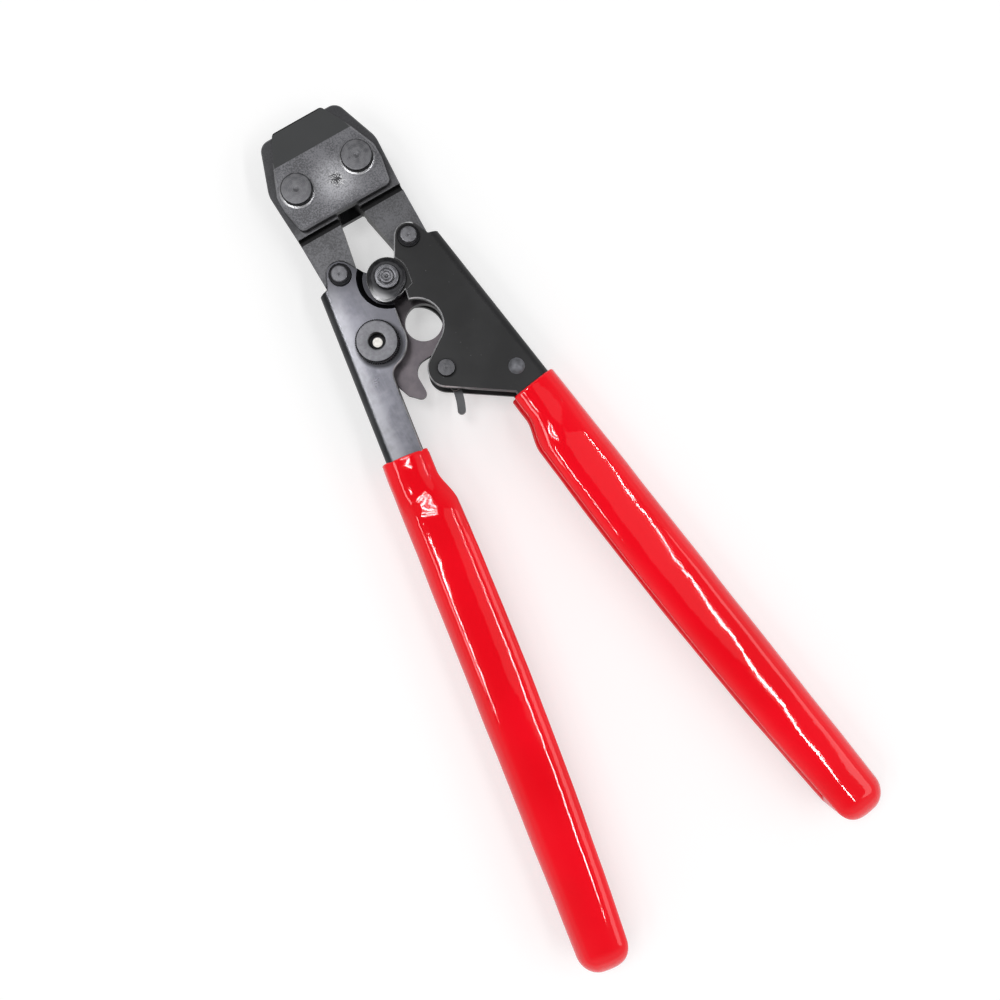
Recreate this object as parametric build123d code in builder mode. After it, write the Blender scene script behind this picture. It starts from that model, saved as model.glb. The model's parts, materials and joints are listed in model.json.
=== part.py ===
from build123d import *
import os
from math import acos, atan2, cos, degrees, hypot, radians, sin

os.makedirs("parts", exist_ok=True)

# A hand-powered clamp tool lying flat. +Z points up from the surface it lies on and +Y towards the jaws.
# The origin is on the main pivot's axis, in the plane of the flat rivet heads that the tool lies on.
# All sizes are in millimetres and all angles in degrees.

LEFT = -1
RIGHT = 1
FRONT = 1
BACK = -1

# Thicknesses
SHEET = 3.0             # wall of the channel handles
ARM_THICK = 12.4        # jaw arms, between the channel flanges
JAW_STEP = 0.75         # each side, jaw heads above their arms
PLATE_THICK = 3.6       # head plates
SECTOR_THICK = 4.0      # ratchet sector and pawl
RIVET_PROUD = 2.4       # head rivets above the head plates

# Clearances
ARM_GAP = 0.2           # each side, jaw arm to flange
PLATE_GAP = 0.05        # each side, jaw head to head plate
LAYER_GAP = 0.05        # between stacked plates and spacers
EAR_GAP = 0.2           # between the handles' stacked ears at the main pivot
RUNNING_FIT = 0.05      # radial, pin in a bore that turns on it
FIXED_FIT = 0.01        # radial, rivet in the piece that holds it
OPEN_PIVOT_FIT = 0.40   # radial, right jaw on its head rivet
SLOT_FIT = 0.10         # each side, eccentric in the sector's slot

# Pivots, with the main pivot at the origin
PIVOT = (0.0, 0.0)
JAW_PIVOT_X = 11.2
JAW_PIVOT_Y = 38.9
ARM_PIVOT_X = 12.9
ARM_PIVOT_Y = 8.4
DIAL = (-13.3, -16.7)
PAWL = (2.0, -35.2)

# Channel handles: distances run down the outer face of the web from its top corner, widths run inwards
WEB_OUTSET = 9.3        # web's top corner outwards from the arm pivot
WEB_TOP_Y = 5.5
HANDLE_TILT = 8.4
BEND_R = 2.8            # rounding of the channel's folded corners
BEND_IN_R = 0.4
CUT_EDGE = 0.4          # broken edges of the stamped flanges
NECK_WIDTH = 12.8
FLARE_START = 66.0
FLARE_END = 78.0
FLARE_WIDTH = 15.8
BELLY_AT = 150.0
BELLY_WIDTH = 16.7
END_WIDTH = 13.4
HANDLE_LENGTH = 236.5
END_ROUND = 5.8
EAR_R = 4.8             # ears that hold the arm pins
EAR_RISE = 1.3          # ear's root above the web's top corner
EAR_INNER_AT = 25.0     # where the left flange leaves its arm ear towards the relief
BLANK_OVERRUN = 20.0
FLANGE_REACH = 60.0

# Left handle: relief round the main pivot, sunk ears and the bulge round the dial
RELIEF_ROOM = 3.3       # left handle's relief round the right handle's pivot ear
RELIEF_FROM = 133.0
RELIEF_TO = 255.0
SUNK_FLOOR_IN = 1.8     # floor, heel and toe of the sunk step, inwards from the relief's edge
SUNK_HEEL_IN = 0.9
SUNK_TOE_IN = 1.6
SUNK_EAR_R = 7.0
SUNK_LAP = 0.5
BULGE_R = 9.7
BULGE_FROM = 5.0
BULGE_BLEND_R = 4.5

# Right handle: pivot ear, round cut-out and pawl ear
PIVOT_EAR_R = 6.9
PIVOT_SEAT_ROOM = 1.1   # sloped seat pressed round the pivot washer
PIVOT_SEAT_DEPTH = 0.3
PIVOT_SEAT_SLOPE = 45.0
PIVOT_SEAT_REACH = 8.5  # its pointed corner
PIVOT_SEAT_AT = -41.0
EDGE_AT_ARM = 150.0     # where the straight edge leaves the arm ear
EDGE_AT_PIVOT = 42.0    # where it meets the pivot ear
CUT_CENTRE = (0.7, -18.1)
CUT_R = 8.7
CUT_TOP_AT = -62.0      # where the flange leaves the pivot ear above the cut-out
CUT_LOW_AT = -50.0      # where the cut-out ends below
PAWL_EAR_R = 6.2
FLANGE_FOOT = 57.5      # distance down the web where the wide flange ends

# Grips
GRIP_TOP = 58.5
GRIP_END_WALL = 5.7     # the dip runs thick at the closed end
GRIP_WALL = 1.8
GRIP_EDGE_R = 5.6
GRIP_LIP_R = 0.7

# Jaws, described on the right-hand jaw
JAW_GAP = 5.0           # between the jaw tips
JAW_TOP = 59.1
TIP_LENGTH = 4.4
POCKET_LOW = 46.0
POCKET_DEPTH = 5.2
TOP_CORNER_X = 14.4
TOP_CORNER_R = 4.0
SHOULDER = (20.2, 43.0)
SHOULDER_R = 9.0
WAIST = (19.3, 25.4)
ARM_WEB_GAP = 0.1       # jaw arm to the web beside it
ARM_HEEL_DROP = 0.4
ARM_END_GAP = 0.7       # jaw arm's round end to the sunk step
KNUCKLE_GAP = 0.7
KNUCKLE_TOP = 44.6
KNUCKLE_MID = 42.0
CROTCH = (1.6, 31.0)
ARM_INNER_TOP = (3.9, 26.0)
GROOVE_TOP = 25.4
GROOVE_WIDTH = 2.0
GROOVE_DEPTH = 2.2
JAW_EDGE = 0.5          # broken edges of the jaw heads

# Head plates
PLATE_TOP = 59.8
PLATE_TOP_X = 9.2
PLATE_BROW = (14.6, 48.6)
PLATE_CHEEK = (18.2, 40.0)
PLATE_JOWL = (18.2, 35.0)
PLATE_FOOT_X = 16.6
PLATE_LOW = 26.4
PLATE_CORNER_R = 2.2
PLATE_NOSE_R = 1.5
PLATE_SIDE_R = 5.0
BEVEL_FROM = 48.6
NOSE_THICK = 0.9
PLATE_EDGE = 0.6
BEVEL_OVERRUN = 5.0

# Rivets, pins, washers and spacers
HEAD_SHANK_R = 4.0
HEAD_LIP = 1.2          # head rivets' heads beyond their shanks
ARM_PIN_R = 3.0
ARM_COLLAR_LIP = 0.75
ARM_COLLAR_H = 0.9
ARM_TOP_INSET = 0.3
ARM_TOP_H = 2.6
MAIN_SHANK_R = 3.5
MAIN_LIP = 0.6
MAIN_NUB_R = 2.3
MAIN_NUB_H = 0.5
PIVOT_WASHER_WIDTH = 2.7
PIVOT_WASHER_H = 1.5
WASHER_TAIL_R = 5.0     # egg-shaped tail of the pivot washers
WASHER_TAIL_REACH = 3.15
WASHER_TAIL_AT = -130.0
WASHER_RIM = 1.0        # shallow slope round the washers
WASHER_RIM_DROP = 0.27
PIVOT_SPACER_WIDTH = 3.0
PAWL_PIN_R = 2.0
PAWL_LIP = 0.9
PAWL_HEAD_H = 2.2
PAWL_HUB_WIDTH = 1.6    # pawl hub and its spacers round the pin
ANCHOR_R = 1.75
ANCHOR_RUN = 51.0       # down the right handle's web
ANCHOR_INSET = 7.4      # inwards from the web's outer face
ANCHOR_LIP = 0.95
ANCHOR_DOME_H = 1.1
HEAD_CHAMFER = 0.4
DIMPLE_R = 0.6
DIMPLE_DEPTH = 0.25

# Ratchet sector
SECTOR_HUB_R = 6.5
SECTOR_BOSS_R = 6.4
TOOTH_TIP_R = 29.0
TOOTH_ROOT_R = 27.7
TOOTH_COUNT = 10
TOOTH_PITCH = 2.8
TOOTH_FROM = -57.0
LEDGE_R = 28.2
NOTCH_CENTRE = (-2.6, -33.0)
NOTCH_R = 4.7
HOOK_LOW = -37.4
HOOK_TIP_R = 1.9
HOOK_BACK = (-13.2, -36.0)
HOOK_ROOT = (-14.8, -31.5)
LIGHTENING_CENTRE = (3.4, -17.4)
LIGHTENING_R = 6.3

# Adjuster
ECCENTRICITY = 0.4
ECCENTRIC_R = 3.0
DIAL_R = 7.25
DIAL_H = 3.1
DIAL_GAP = 0.1          # dial to the flange under it
DIAL_CHAMFER = 0.5
DIAL_JOURNAL_R = 4.5
REAR_JOURNAL_R = 3.0
SOCKET_R = 2.7
SOCKET_DEPTH = 4.2
SCREW_R = 1.6
SCREW_TIP_H = 0.4
SCREW_LIP = 2.0
SCREW_HEAD_H = 2.0
SCREW_HEX_R = 1.5
SCREW_HEX_DEPTH = 1.2
ADJUSTER_WASHER_R = 5.5
ADJUSTER_WASHER_H = 1.0

# Pawl and its spring
NOSE_REACH = 8.0
NOSE_GAP = 0.27         # nose to the tooth tips at rest
NOSE_BACK_TURN = 8.0
NOSE_BACK_SHORT = 0.4
LEVER_MID = (1.9, -42.5)
LEVER_END = (-0.2, -49.0)
LEVER_WIDTH = 2.8
PEG = (1.9, -41.0)
PEG_R = 1.0
PEG_H = 2.6
SPRING_WIRE_R = 0.4
SPRING_R = 1.8
SPRING_RISE = 1.6       # spring's axis above the pawl's face
SPRING_LOOP_GAP = 0.1
SPRING_LEAD = 3.6       # from each loop's centre to the coil body

# Sizes that follow from the ones above
JAW_THICK = ARM_THICK + 2 * JAW_STEP
WEB_TOP_X = ARM_PIVOT_X + WEB_OUTSET
ARM_OUTER_X = WEB_TOP_X - SHEET - ARM_WEB_GAP
RELIEF_R = PIVOT_EAR_R + RELIEF_ROOM
STEP_R = RELIEF_R - SUNK_HEEL_IN
ARM_END_R = hypot(ARM_PIVOT_X, ARM_PIVOT_Y) - STEP_R - ARM_END_GAP
GRIP_END = HANDLE_LENGTH + GRIP_END_WALL
MAIN_HEAD_R = MAIN_SHANK_R + MAIN_LIP
PIVOT_WASHER_R = MAIN_SHANK_R + PIVOT_WASHER_WIDTH
PIVOT_SEAT_R = PIVOT_WASHER_R + PIVOT_SEAT_ROOM
PAWL_HUB_R = PAWL_PIN_R + PAWL_HUB_WIDTH
ANCHOR_HEAD_R = ANCHOR_R + ANCHOR_LIP
ARM_COLLAR_R = ARM_PIN_R + ARM_COLLAR_LIP
ARM_TOP_R = ARM_PIN_R - ARM_TOP_INSET

# Levels counted from the mid-plane
FLANGE_IN = ARM_THICK / 2 + ARM_GAP
FLANGE_OUT = FLANGE_IN + SHEET
PLATE_IN = JAW_THICK / 2 + PLATE_GAP
PLATE_OUT = PLATE_IN + PLATE_THICK
TOP = PLATE_OUT + RIVET_PROUD
MID = TOP               # height of the mid-plane above the resting plane
SUNK_OUT = FLANGE_IN - EAR_GAP
SUNK_IN = SUNK_OUT - SHEET
SECTOR_HALF = SECTOR_THICK / 2
WASHER_IN = FLANGE_OUT - PIVOT_SEAT_DEPTH
WASHER_OUT = WASHER_IN + PIVOT_WASHER_H
GRIP_HALF = FLANGE_OUT + GRIP_WALL
DIAL_TOP = FLANGE_OUT + DIAL_GAP + DIAL_H
SPRING_LEVEL = SECTOR_HALF + SPRING_RISE


def level(height):
    """The plane at a height above or below the mid-plane."""
    return Plane.XY.offset(MID + height)


def upright(centre, heading=0.0):
    """A plane through a pivot: local x runs out from its axis at a heading, local y up from the mid-plane."""
    turn = radians(heading)
    return Plane((*centre, MID), x_dir=(cos(turn), sin(turn), 0), z_dir=(sin(turn), -cos(turn), 0))


def polar(centre, radius, angle):
    """The point at a radius and an angle from a centre."""
    return (centre[0] + radius * cos(radians(angle)), centre[1] + radius * sin(radians(angle)))


def tangent_point(centre, radius, point, turn):
    """Where a line from a point touches a circle, anticlockwise (1) or clockwise (-1) of the point."""
    reach = (point[0] - centre[0], point[1] - centre[1])
    heading = degrees(atan2(reach[1], reach[0]))
    return polar(centre, radius, heading + turn * degrees(acos(radius / hypot(*reach))))


def along(distance, width, side):
    """The point at a distance down a handle's web and a width inwards from its outer face."""
    tilt = radians(HANDLE_TILT)
    x = WEB_TOP_X + distance * sin(tilt) - width * cos(tilt)
    y = WEB_TOP_Y - distance * cos(tilt) - width * sin(tilt)
    return (side * x, y)


def down(side):
    """The direction down a handle."""
    return (side * sin(radians(HANDLE_TILT)), -cos(radians(HANDLE_TILT)), 0)


def outwards(side):
    """The direction out of a handle's web."""
    return (side * cos(radians(HANDLE_TILT)), sin(radians(HANDLE_TILT)), 0)


def jaw_pivot(side):
    return (side * JAW_PIVOT_X, JAW_PIVOT_Y)


def arm_pivot(side):
    return (side * ARM_PIVOT_X, ARM_PIVOT_Y)


def channel_plan(side, top, end, wall):
    """Plan of a handle between two distances down its web, grown by a wall on both long edges."""
    with BuildSketch() as plan:
        with BuildLine():
            belly = ThreePointArc(
                along(FLARE_END, FLARE_WIDTH + wall, side),
                along(BELLY_AT, BELLY_WIDTH + wall, side),
                along(end, END_WIDTH + wall, side),
            )
            flare = Spline(
                along(FLARE_START, NECK_WIDTH + wall, side), belly @ 0, tangents=(down(side), belly % 0)
            )
            Polyline(
                belly @ 1,
                along(end, -wall, side),
                along(top, -wall, side),
                along(top, NECK_WIDTH + wall, side),
                flare @ 0,
            )
        make_face()
        fillet(plan.vertices().sort_by(Axis.Y)[:2], END_ROUND + wall)
    return plan.sketch


def channel_blank(side):
    """A long folded channel with deep flanges, from which the plan of a handle is cut."""
    inwards = tuple(-part for part in outwards(side))
    start = along(-BLANK_OVERRUN, 0, side)
    with BuildPart() as blank:
        with BuildSketch(Plane((*start, MID), x_dir=inwards, z_dir=down(side))) as section:
            Rectangle(FLANGE_REACH, 2 * FLANGE_OUT, align=(Align.MIN, Align.CENTER))
            fillet(section.vertices().group_by(Axis.X)[0], BEND_R)
            with Locations((SHEET + FLANGE_REACH / 2, 0)):
                RectangleRounded(FLANGE_REACH, 2 * FLANGE_IN, BEND_IN_R, mode=Mode.SUBTRACT)
        extrude(amount=HANDLE_LENGTH + 2 * BLANK_OVERRUN)
    return blank.part


def outline_edges(part):
    """The edges round the lowest and the highest face of a flat blank."""
    faces = part.faces().sort_by(Axis.Z)
    return [*faces[0].outer_wire().edges(), *faces[-1].outer_wire().edges()]


# Left handle: a channel with the arm ear, the dial's bulge and two ears sunk under the right handle's ears
dial_run = along(0, 0, LEFT)
dial_distance = (DIAL[0] - dial_run[0]) * down(LEFT)[0] + (DIAL[1] - dial_run[1]) * down(LEFT)[1]
left_ear_root = along(-EAR_RISE, SHEET, LEFT)
with BuildPart() as left_handle:
    with BuildSketch(level(0)) as left_plan:
        add(channel_plan(LEFT, 0, HANDLE_LENGTH, 0))
        Polygon(
            along(0, 0, LEFT),
            left_ear_root,
            tangent_point(arm_pivot(LEFT), EAR_R, left_ear_root, -1),
            polar(arm_pivot(LEFT), EAR_R, EAR_INNER_AT),
            polar(PIVOT, RELIEF_R, RELIEF_FROM),
            PIVOT,
            polar(PIVOT, RELIEF_R, RELIEF_TO),
            polar(DIAL, BULGE_R, BULGE_FROM),
            DIAL,
            along(dial_distance, SHEET, LEFT),
            align=None,
        )
        with Locations(arm_pivot(LEFT)):
            Circle(EAR_R)
        with Locations(DIAL):
            Circle(BULGE_R)
        with Locations(PIVOT):
            Circle(RELIEF_R, mode=Mode.SUBTRACT)
        bulge_corner = along(dial_distance + BULGE_R, NECK_WIDTH, LEFT)
        fillet(left_plan.vertices().sort_by_distance(bulge_corner)[0], BULGE_BLEND_R)
    extrude(amount=FLANGE_OUT, both=True)
    chamfer(outline_edges(left_handle), CUT_EDGE)
    add(channel_blank(LEFT), mode=Mode.INTERSECT)
    for face in (FRONT, BACK):
        with BuildSketch(upright(PIVOT, RELIEF_FROM)):
            Polygon(
                (RELIEF_R + SUNK_LAP, face * FLANGE_OUT),
                (RELIEF_R, face * FLANGE_OUT),
                (RELIEF_R - SUNK_FLOOR_IN, face * SUNK_OUT),
                (MAIN_SHANK_R, face * SUNK_OUT),
                (MAIN_SHANK_R, face * SUNK_IN),
                (RELIEF_R - SUNK_TOE_IN, face * SUNK_IN),
                (STEP_R, face * FLANGE_IN),
                (RELIEF_R + SUNK_LAP, face * FLANGE_IN),
                align=None,
            )
        revolve(axis=Axis((0, 0, MID), (0, 0, 1)), revolution_arc=RELIEF_TO - RELIEF_FROM)
        with BuildSketch(level(face * SUNK_IN)):
            Circle(SUNK_EAR_R)
        extrude(amount=face * SHEET)
    with Locations((*PIVOT, MID + FLANGE_OUT)):
        Hole(MAIN_SHANK_R + RUNNING_FIT)
    with Locations((*arm_pivot(LEFT), MID + FLANGE_OUT)):
        Hole(ARM_PIN_R + FIXED_FIT)
    with Locations((*DIAL, MID + FLANGE_OUT)):
        Hole(REAR_JOURNAL_R + RUNNING_FIT)
        Hole(DIAL_JOURNAL_R + RUNNING_FIT, depth=FLANGE_OUT)
left_handle.part.label = "left_handle"
export_step(left_handle.part, "parts/left_handle.step")

# Right handle: a channel with a wide flange, the pivot ear, the round cut-out and the pawl ear
anchor = along(ANCHOR_RUN, ANCHOR_INSET, RIGHT)
right_ear_root = along(-EAR_RISE, SHEET, RIGHT)
flange_foot = along(FLANGE_FOOT, NECK_WIDTH, RIGHT)
seat_corner = polar(PIVOT, PIVOT_SEAT_REACH, PIVOT_SEAT_AT)
with BuildPart() as right_handle:
    with BuildSketch(level(0)):
        add(channel_plan(RIGHT, 0, HANDLE_LENGTH, 0))
        Polygon(
            along(0, 0, RIGHT),
            right_ear_root,
            tangent_point(arm_pivot(RIGHT), EAR_R, right_ear_root, 1),
            polar(arm_pivot(RIGHT), EAR_R, EDGE_AT_ARM),
            polar(PIVOT, PIVOT_EAR_R, EDGE_AT_PIVOT),
            PIVOT,
            polar(PIVOT, PIVOT_EAR_R, CUT_TOP_AT),
            CUT_CENTRE,
            polar(CUT_CENTRE, CUT_R, CUT_LOW_AT),
            tangent_point(PAWL, PAWL_EAR_R, polar(CUT_CENTRE, CUT_R, CUT_LOW_AT), 1),
            PAWL,
            tangent_point(PAWL, PAWL_EAR_R, flange_foot, -1),
            flange_foot,
            along(FLANGE_FOOT, SHEET, RIGHT),
            align=None,
        )
        with Locations(arm_pivot(RIGHT)):
            Circle(EAR_R)
        with Locations(PIVOT):
            Circle(PIVOT_EAR_R)
        with Locations(PAWL):
            Circle(PAWL_EAR_R)
        with Locations(CUT_CENTRE):
            Circle(CUT_R, mode=Mode.SUBTRACT)
    extrude(amount=FLANGE_OUT, both=True)
    chamfer(outline_edges(right_handle), CUT_EDGE)
    add(channel_blank(RIGHT), mode=Mode.INTERSECT)
    for face in (FRONT, BACK):
        with BuildSketch(level(face * FLANGE_OUT)):
            Circle(PIVOT_SEAT_R)
            Polygon(
                PIVOT,
                tangent_point(PIVOT, PIVOT_SEAT_R, seat_corner, -1),
                seat_corner,
                tangent_point(PIVOT, PIVOT_SEAT_R, seat_corner, 1),
                align=None,
            )
        extrude(amount=-face * PIVOT_SEAT_DEPTH, taper=PIVOT_SEAT_SLOPE, mode=Mode.SUBTRACT)
    with Locations((*PIVOT, MID + FLANGE_OUT)):
        Hole(MAIN_SHANK_R + FIXED_FIT)
    with Locations((*arm_pivot(RIGHT), MID + FLANGE_OUT)):
        Hole(ARM_PIN_R + FIXED_FIT)
    with Locations((*PAWL, MID + FLANGE_OUT)):
        Hole(PAWL_PIN_R + FIXED_FIT)
    with Locations((*anchor, MID + FLANGE_OUT)):
        Hole(ANCHOR_R + FIXED_FIT)
right_handle.part.label = "right_handle"
export_step(right_handle.part, "parts/right_handle.step")

# Grips: dipped sleeves, closed at the lower end, with rounded long edges
for side, label in ((LEFT, "left_grip"), (RIGHT, "right_grip")):
    with BuildPart() as grip:
        with BuildSketch(level(0)):
            add(channel_plan(side, GRIP_TOP, GRIP_END, GRIP_WALL))
        extrude(amount=GRIP_HALF, both=True)
        rims = [grip.faces().sort_by(Axis.Z)[end].edges() for end in (0, -1)]
        long_rims = [edge for rim in rims for edge in rim.sort_by(Axis((0, 0, 0), down(side)))[1:]]
        fillet(long_rims, GRIP_EDGE_R)
        mouth = grip.faces().sort_by(Axis((0, 0, 0), down(side)))[0]
        fillet(mouth.edges(), GRIP_LIP_R)
        with BuildSketch(level(0)):
            add(channel_plan(side, GRIP_TOP - GRIP_WALL, HANDLE_LENGTH, FIXED_FIT))
        extrude(amount=FLANGE_OUT + FIXED_FIT, both=True, mode=Mode.SUBTRACT)
    grip.part.label = label
    export_step(grip.part, f"parts/{label}.step")


def jaw_plan(side):
    """Plan of one jaw: tip, pocket, knuckle and arm inside, rounded shoulder outside."""

    def at(x, y):
        return (side * x, y)

    with BuildSketch() as plan:
        with BuildLine():
            pocket = ThreePointArc(
                at(JAW_GAP / 2, JAW_TOP - TIP_LENGTH),
                at(POCKET_DEPTH, (JAW_TOP - TIP_LENGTH + POCKET_LOW) / 2),
                at(JAW_GAP / 2, POCKET_LOW),
            )
            Polyline(
                pocket @ 1,
                at(KNUCKLE_GAP, KNUCKLE_TOP),
                at(KNUCKLE_GAP, KNUCKLE_MID),
                at(*CROTCH),
                at(*ARM_INNER_TOP),
                tangent_point(arm_pivot(side), ARM_END_R, at(*ARM_INNER_TOP), side),
                arm_pivot(side),
                at(ARM_OUTER_X, ARM_PIVOT_Y - ARM_HEEL_DROP),
                at(*WAIST),
                at(*SHOULDER),
                at(TOP_CORNER_X, JAW_TOP),
                at(JAW_GAP / 2, JAW_TOP),
                pocket @ 0,
            )
        make_face()
        with Locations(arm_pivot(side)):
            Circle(ARM_END_R)
        fillet(plan.vertices().sort_by_distance(at(TOP_CORNER_X, JAW_TOP))[0], TOP_CORNER_R)
        fillet(plan.vertices().sort_by_distance(at(*SHOULDER))[0], SHOULDER_R)
    return plan.sketch


# Jaws: thick heads, a groove under the head plates, and thinner arms that reach into the handles
jaw_fits = {LEFT: RUNNING_FIT, RIGHT: OPEN_PIVOT_FIT}
across = 4 * SHOULDER[0]  # wider than both jaws
for side, label in ((LEFT, "left_jaw"), (RIGHT, "right_jaw")):
    with BuildPart() as jaw:
        with BuildSketch(level(0)):
            add(jaw_plan(side))
        extrude(amount=ARM_THICK / 2, both=True)
        with BuildSketch(level(0)):
            add(jaw_plan(side))
            with Locations((0, GROOVE_TOP)):
                Rectangle(across, JAW_TOP, align=(Align.CENTER, Align.MIN), mode=Mode.INTERSECT)
        extrude(amount=JAW_THICK / 2, both=True)
        chamfer([edge for edge in outline_edges(jaw) if edge.center().Y > GROOVE_TOP + JAW_EDGE], JAW_EDGE)
        for face in (FRONT, BACK):
            with BuildSketch(level(face * JAW_THICK / 2)):
                with Locations((0, GROOVE_TOP)):
                    Rectangle(across, GROOVE_WIDTH, align=(Align.CENTER, Align.MAX))
            extrude(amount=-face * (GROOVE_DEPTH + (JAW_THICK - ARM_THICK) / 2), mode=Mode.SUBTRACT)
        with Locations((*jaw_pivot(side), MID + JAW_THICK / 2)):
            Hole(HEAD_SHANK_R + jaw_fits[side])
        with Locations((*arm_pivot(side), MID + JAW_THICK / 2)):
            Hole(ARM_PIN_R + RUNNING_FIT)
    jaw.part.label = label
    export_step(jaw.part, f"parts/{label}.step")

# Head plates: flat links with a bevelled nose over the jaw tips
half_plan = (
    (PLATE_TOP_X, PLATE_TOP),
    PLATE_BROW,
    PLATE_CHEEK,
    PLATE_JOWL,
    (PLATE_FOOT_X, PLATE_LOW),
)
plate_plan = [*half_plan, *[(-x, y) for x, y in reversed(half_plan)]]
for face, label in ((FRONT, "front_head_plate"), (BACK, "back_head_plate")):
    with BuildPart() as plate:
        with BuildSketch(level(face * PLATE_IN)) as plan:
            Polygon(*plate_plan, align=None)
            feet = plan.vertices().sort_by(Axis.Y)[:2]
            fillet(feet, PLATE_CORNER_R)
            nose = plan.vertices().sort_by(Axis.Y)[-2:]
            fillet(nose, PLATE_NOSE_R)
            for x, y in (PLATE_CHEEK, PLATE_JOWL):
                for side in (LEFT, RIGHT):
                    fillet(plan.vertices().sort_by_distance((side * x, y))[0], PLATE_SIDE_R)
            with Locations(jaw_pivot(LEFT), jaw_pivot(RIGHT)):
                Circle(HEAD_SHANK_R + FIXED_FIT, mode=Mode.SUBTRACT)
        extrude(amount=face * PLATE_THICK)
        slope = (PLATE_THICK - NOSE_THICK) / (PLATE_TOP - BEVEL_FROM)
        with BuildSketch(Plane.YZ):
            Polygon(
                (BEVEL_FROM, MID + face * PLATE_OUT),
                (PLATE_TOP + BEVEL_OVERRUN, MID + face * PLATE_OUT),
                (PLATE_TOP + BEVEL_OVERRUN, MID + face * (PLATE_IN + NOSE_THICK - BEVEL_OVERRUN * slope)),
                align=None,
            )
        extrude(amount=2 * PLATE_CHEEK[0], both=True, mode=Mode.SUBTRACT)
        outer_face = plate.faces().sort_by(Axis.Z)[-1 if face == FRONT else 0]
        rim = outer_face.outer_wire().edges().sort_by(Axis.Y)[:-1]
        chamfer(rim, PLATE_EDGE)
    plate.part.label = label
    export_step(plate.part, f"parts/{label}.step")


def rivet_profile(shank, seat, head, top):
    """Half section of a rivet with a chamfered head on both ends and a small dimple in the front one."""
    return (
        (0, -top),
        (head - HEAD_CHAMFER, -top),
        (head, HEAD_CHAMFER - top),
        (head, -seat),
        (shank, -seat),
        (shank, seat),
        (head, seat),
        (head, top - HEAD_CHAMFER),
        (head - HEAD_CHAMFER, top),
        (DIMPLE_R, top),
        (0, top - DIMPLE_DEPTH),
    )


def ring_profile(bore, rim, low, high):
    """Half section of a washer or spacer."""
    return ((bore, low), (rim, low), (rim, high), (bore, high))


arm_top = FLANGE_OUT + ARM_TOP_H
arm_step = FLANGE_OUT + ARM_COLLAR_H
half_arm_pin = (
    (ARM_PIN_R, FLANGE_OUT),
    (ARM_COLLAR_R, FLANGE_OUT),
    (ARM_COLLAR_R, arm_step - HEAD_CHAMFER),
    (ARM_TOP_R + HEAD_CHAMFER, arm_step),
    (ARM_TOP_R, arm_step + HEAD_CHAMFER),
    (ARM_TOP_R, arm_top - HEAD_CHAMFER),
    (ARM_TOP_R - HEAD_CHAMFER, arm_top),
    (0, arm_top),
)
arm_pin_profile = [*half_arm_pin, *[(r, -z) for r, z in reversed(half_arm_pin)]]

main_rim = TOP - MAIN_NUB_H
main_rivet_profile = (
    *rivet_profile(MAIN_SHANK_R, WASHER_OUT, MAIN_HEAD_R, TOP)[:7],
    (MAIN_HEAD_R, main_rim - HEAD_CHAMFER),
    (MAIN_HEAD_R - HEAD_CHAMFER, main_rim),
    (MAIN_NUB_R + HEAD_CHAMFER, main_rim),
    (MAIN_NUB_R, TOP),
    (DIMPLE_R, TOP),
    (0, TOP - DIMPLE_DEPTH),
)

pivot_bore = MAIN_SHANK_R + FIXED_FIT
pivot_spacer = (pivot_bore, MAIN_SHANK_R + PIVOT_SPACER_WIDTH, SECTOR_HALF + LAYER_GAP, SUNK_IN - LAYER_GAP)
pawl_spacer = (PAWL_PIN_R + FIXED_FIT, PAWL_HUB_R, SECTOR_HALF + LAYER_GAP, FLANGE_IN)
washer_low = -FLANGE_OUT - DIAL_GAP - ADJUSTER_WASHER_H
adjuster_washer = (SCREW_R + FIXED_FIT, ADJUSTER_WASHER_R, washer_low, washer_low + ADJUSTER_WASHER_H)


def flipped(profile):
    """The same half section on the back of the tool."""
    return tuple((r, -z) for r, z in profile)


# Turned pieces: each is its half section spun round its own axis
head_rivet_profile = rivet_profile(HEAD_SHANK_R, PLATE_OUT, HEAD_SHANK_R + HEAD_LIP, TOP)
pawl_pin_profile = rivet_profile(PAWL_PIN_R, FLANGE_OUT, PAWL_PIN_R + PAWL_LIP, FLANGE_OUT + PAWL_HEAD_H)
turned = {
    "left_head_rivet": (jaw_pivot(LEFT), head_rivet_profile),
    "right_head_rivet": (jaw_pivot(RIGHT), head_rivet_profile),
    "left_arm_pin": (arm_pivot(LEFT), arm_pin_profile),
    "right_arm_pin": (arm_pivot(RIGHT), arm_pin_profile),
    "main_pivot_rivet": (PIVOT, main_rivet_profile),
    "front_pivot_spacer": (PIVOT, ring_profile(*pivot_spacer)),
    "back_pivot_spacer": (PIVOT, flipped(ring_profile(*pivot_spacer))),
    "pawl_pin": (PAWL, pawl_pin_profile),
    "front_pawl_spacer": (PAWL, ring_profile(*pawl_spacer)),
    "back_pawl_spacer": (PAWL, flipped(ring_profile(*pawl_spacer))),
    "adjuster_washer": (DIAL, ring_profile(*adjuster_washer)),
}
for label, (centre, profile) in turned.items():
    with BuildPart() as piece:
        with BuildSketch(upright(centre)):
            Polygon(*profile, align=None)
        revolve(axis=Axis((*centre, MID), (0, 0, 1)))
    piece.part.label = label
    export_step(piece.part, f"parts/{label}.step")

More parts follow.
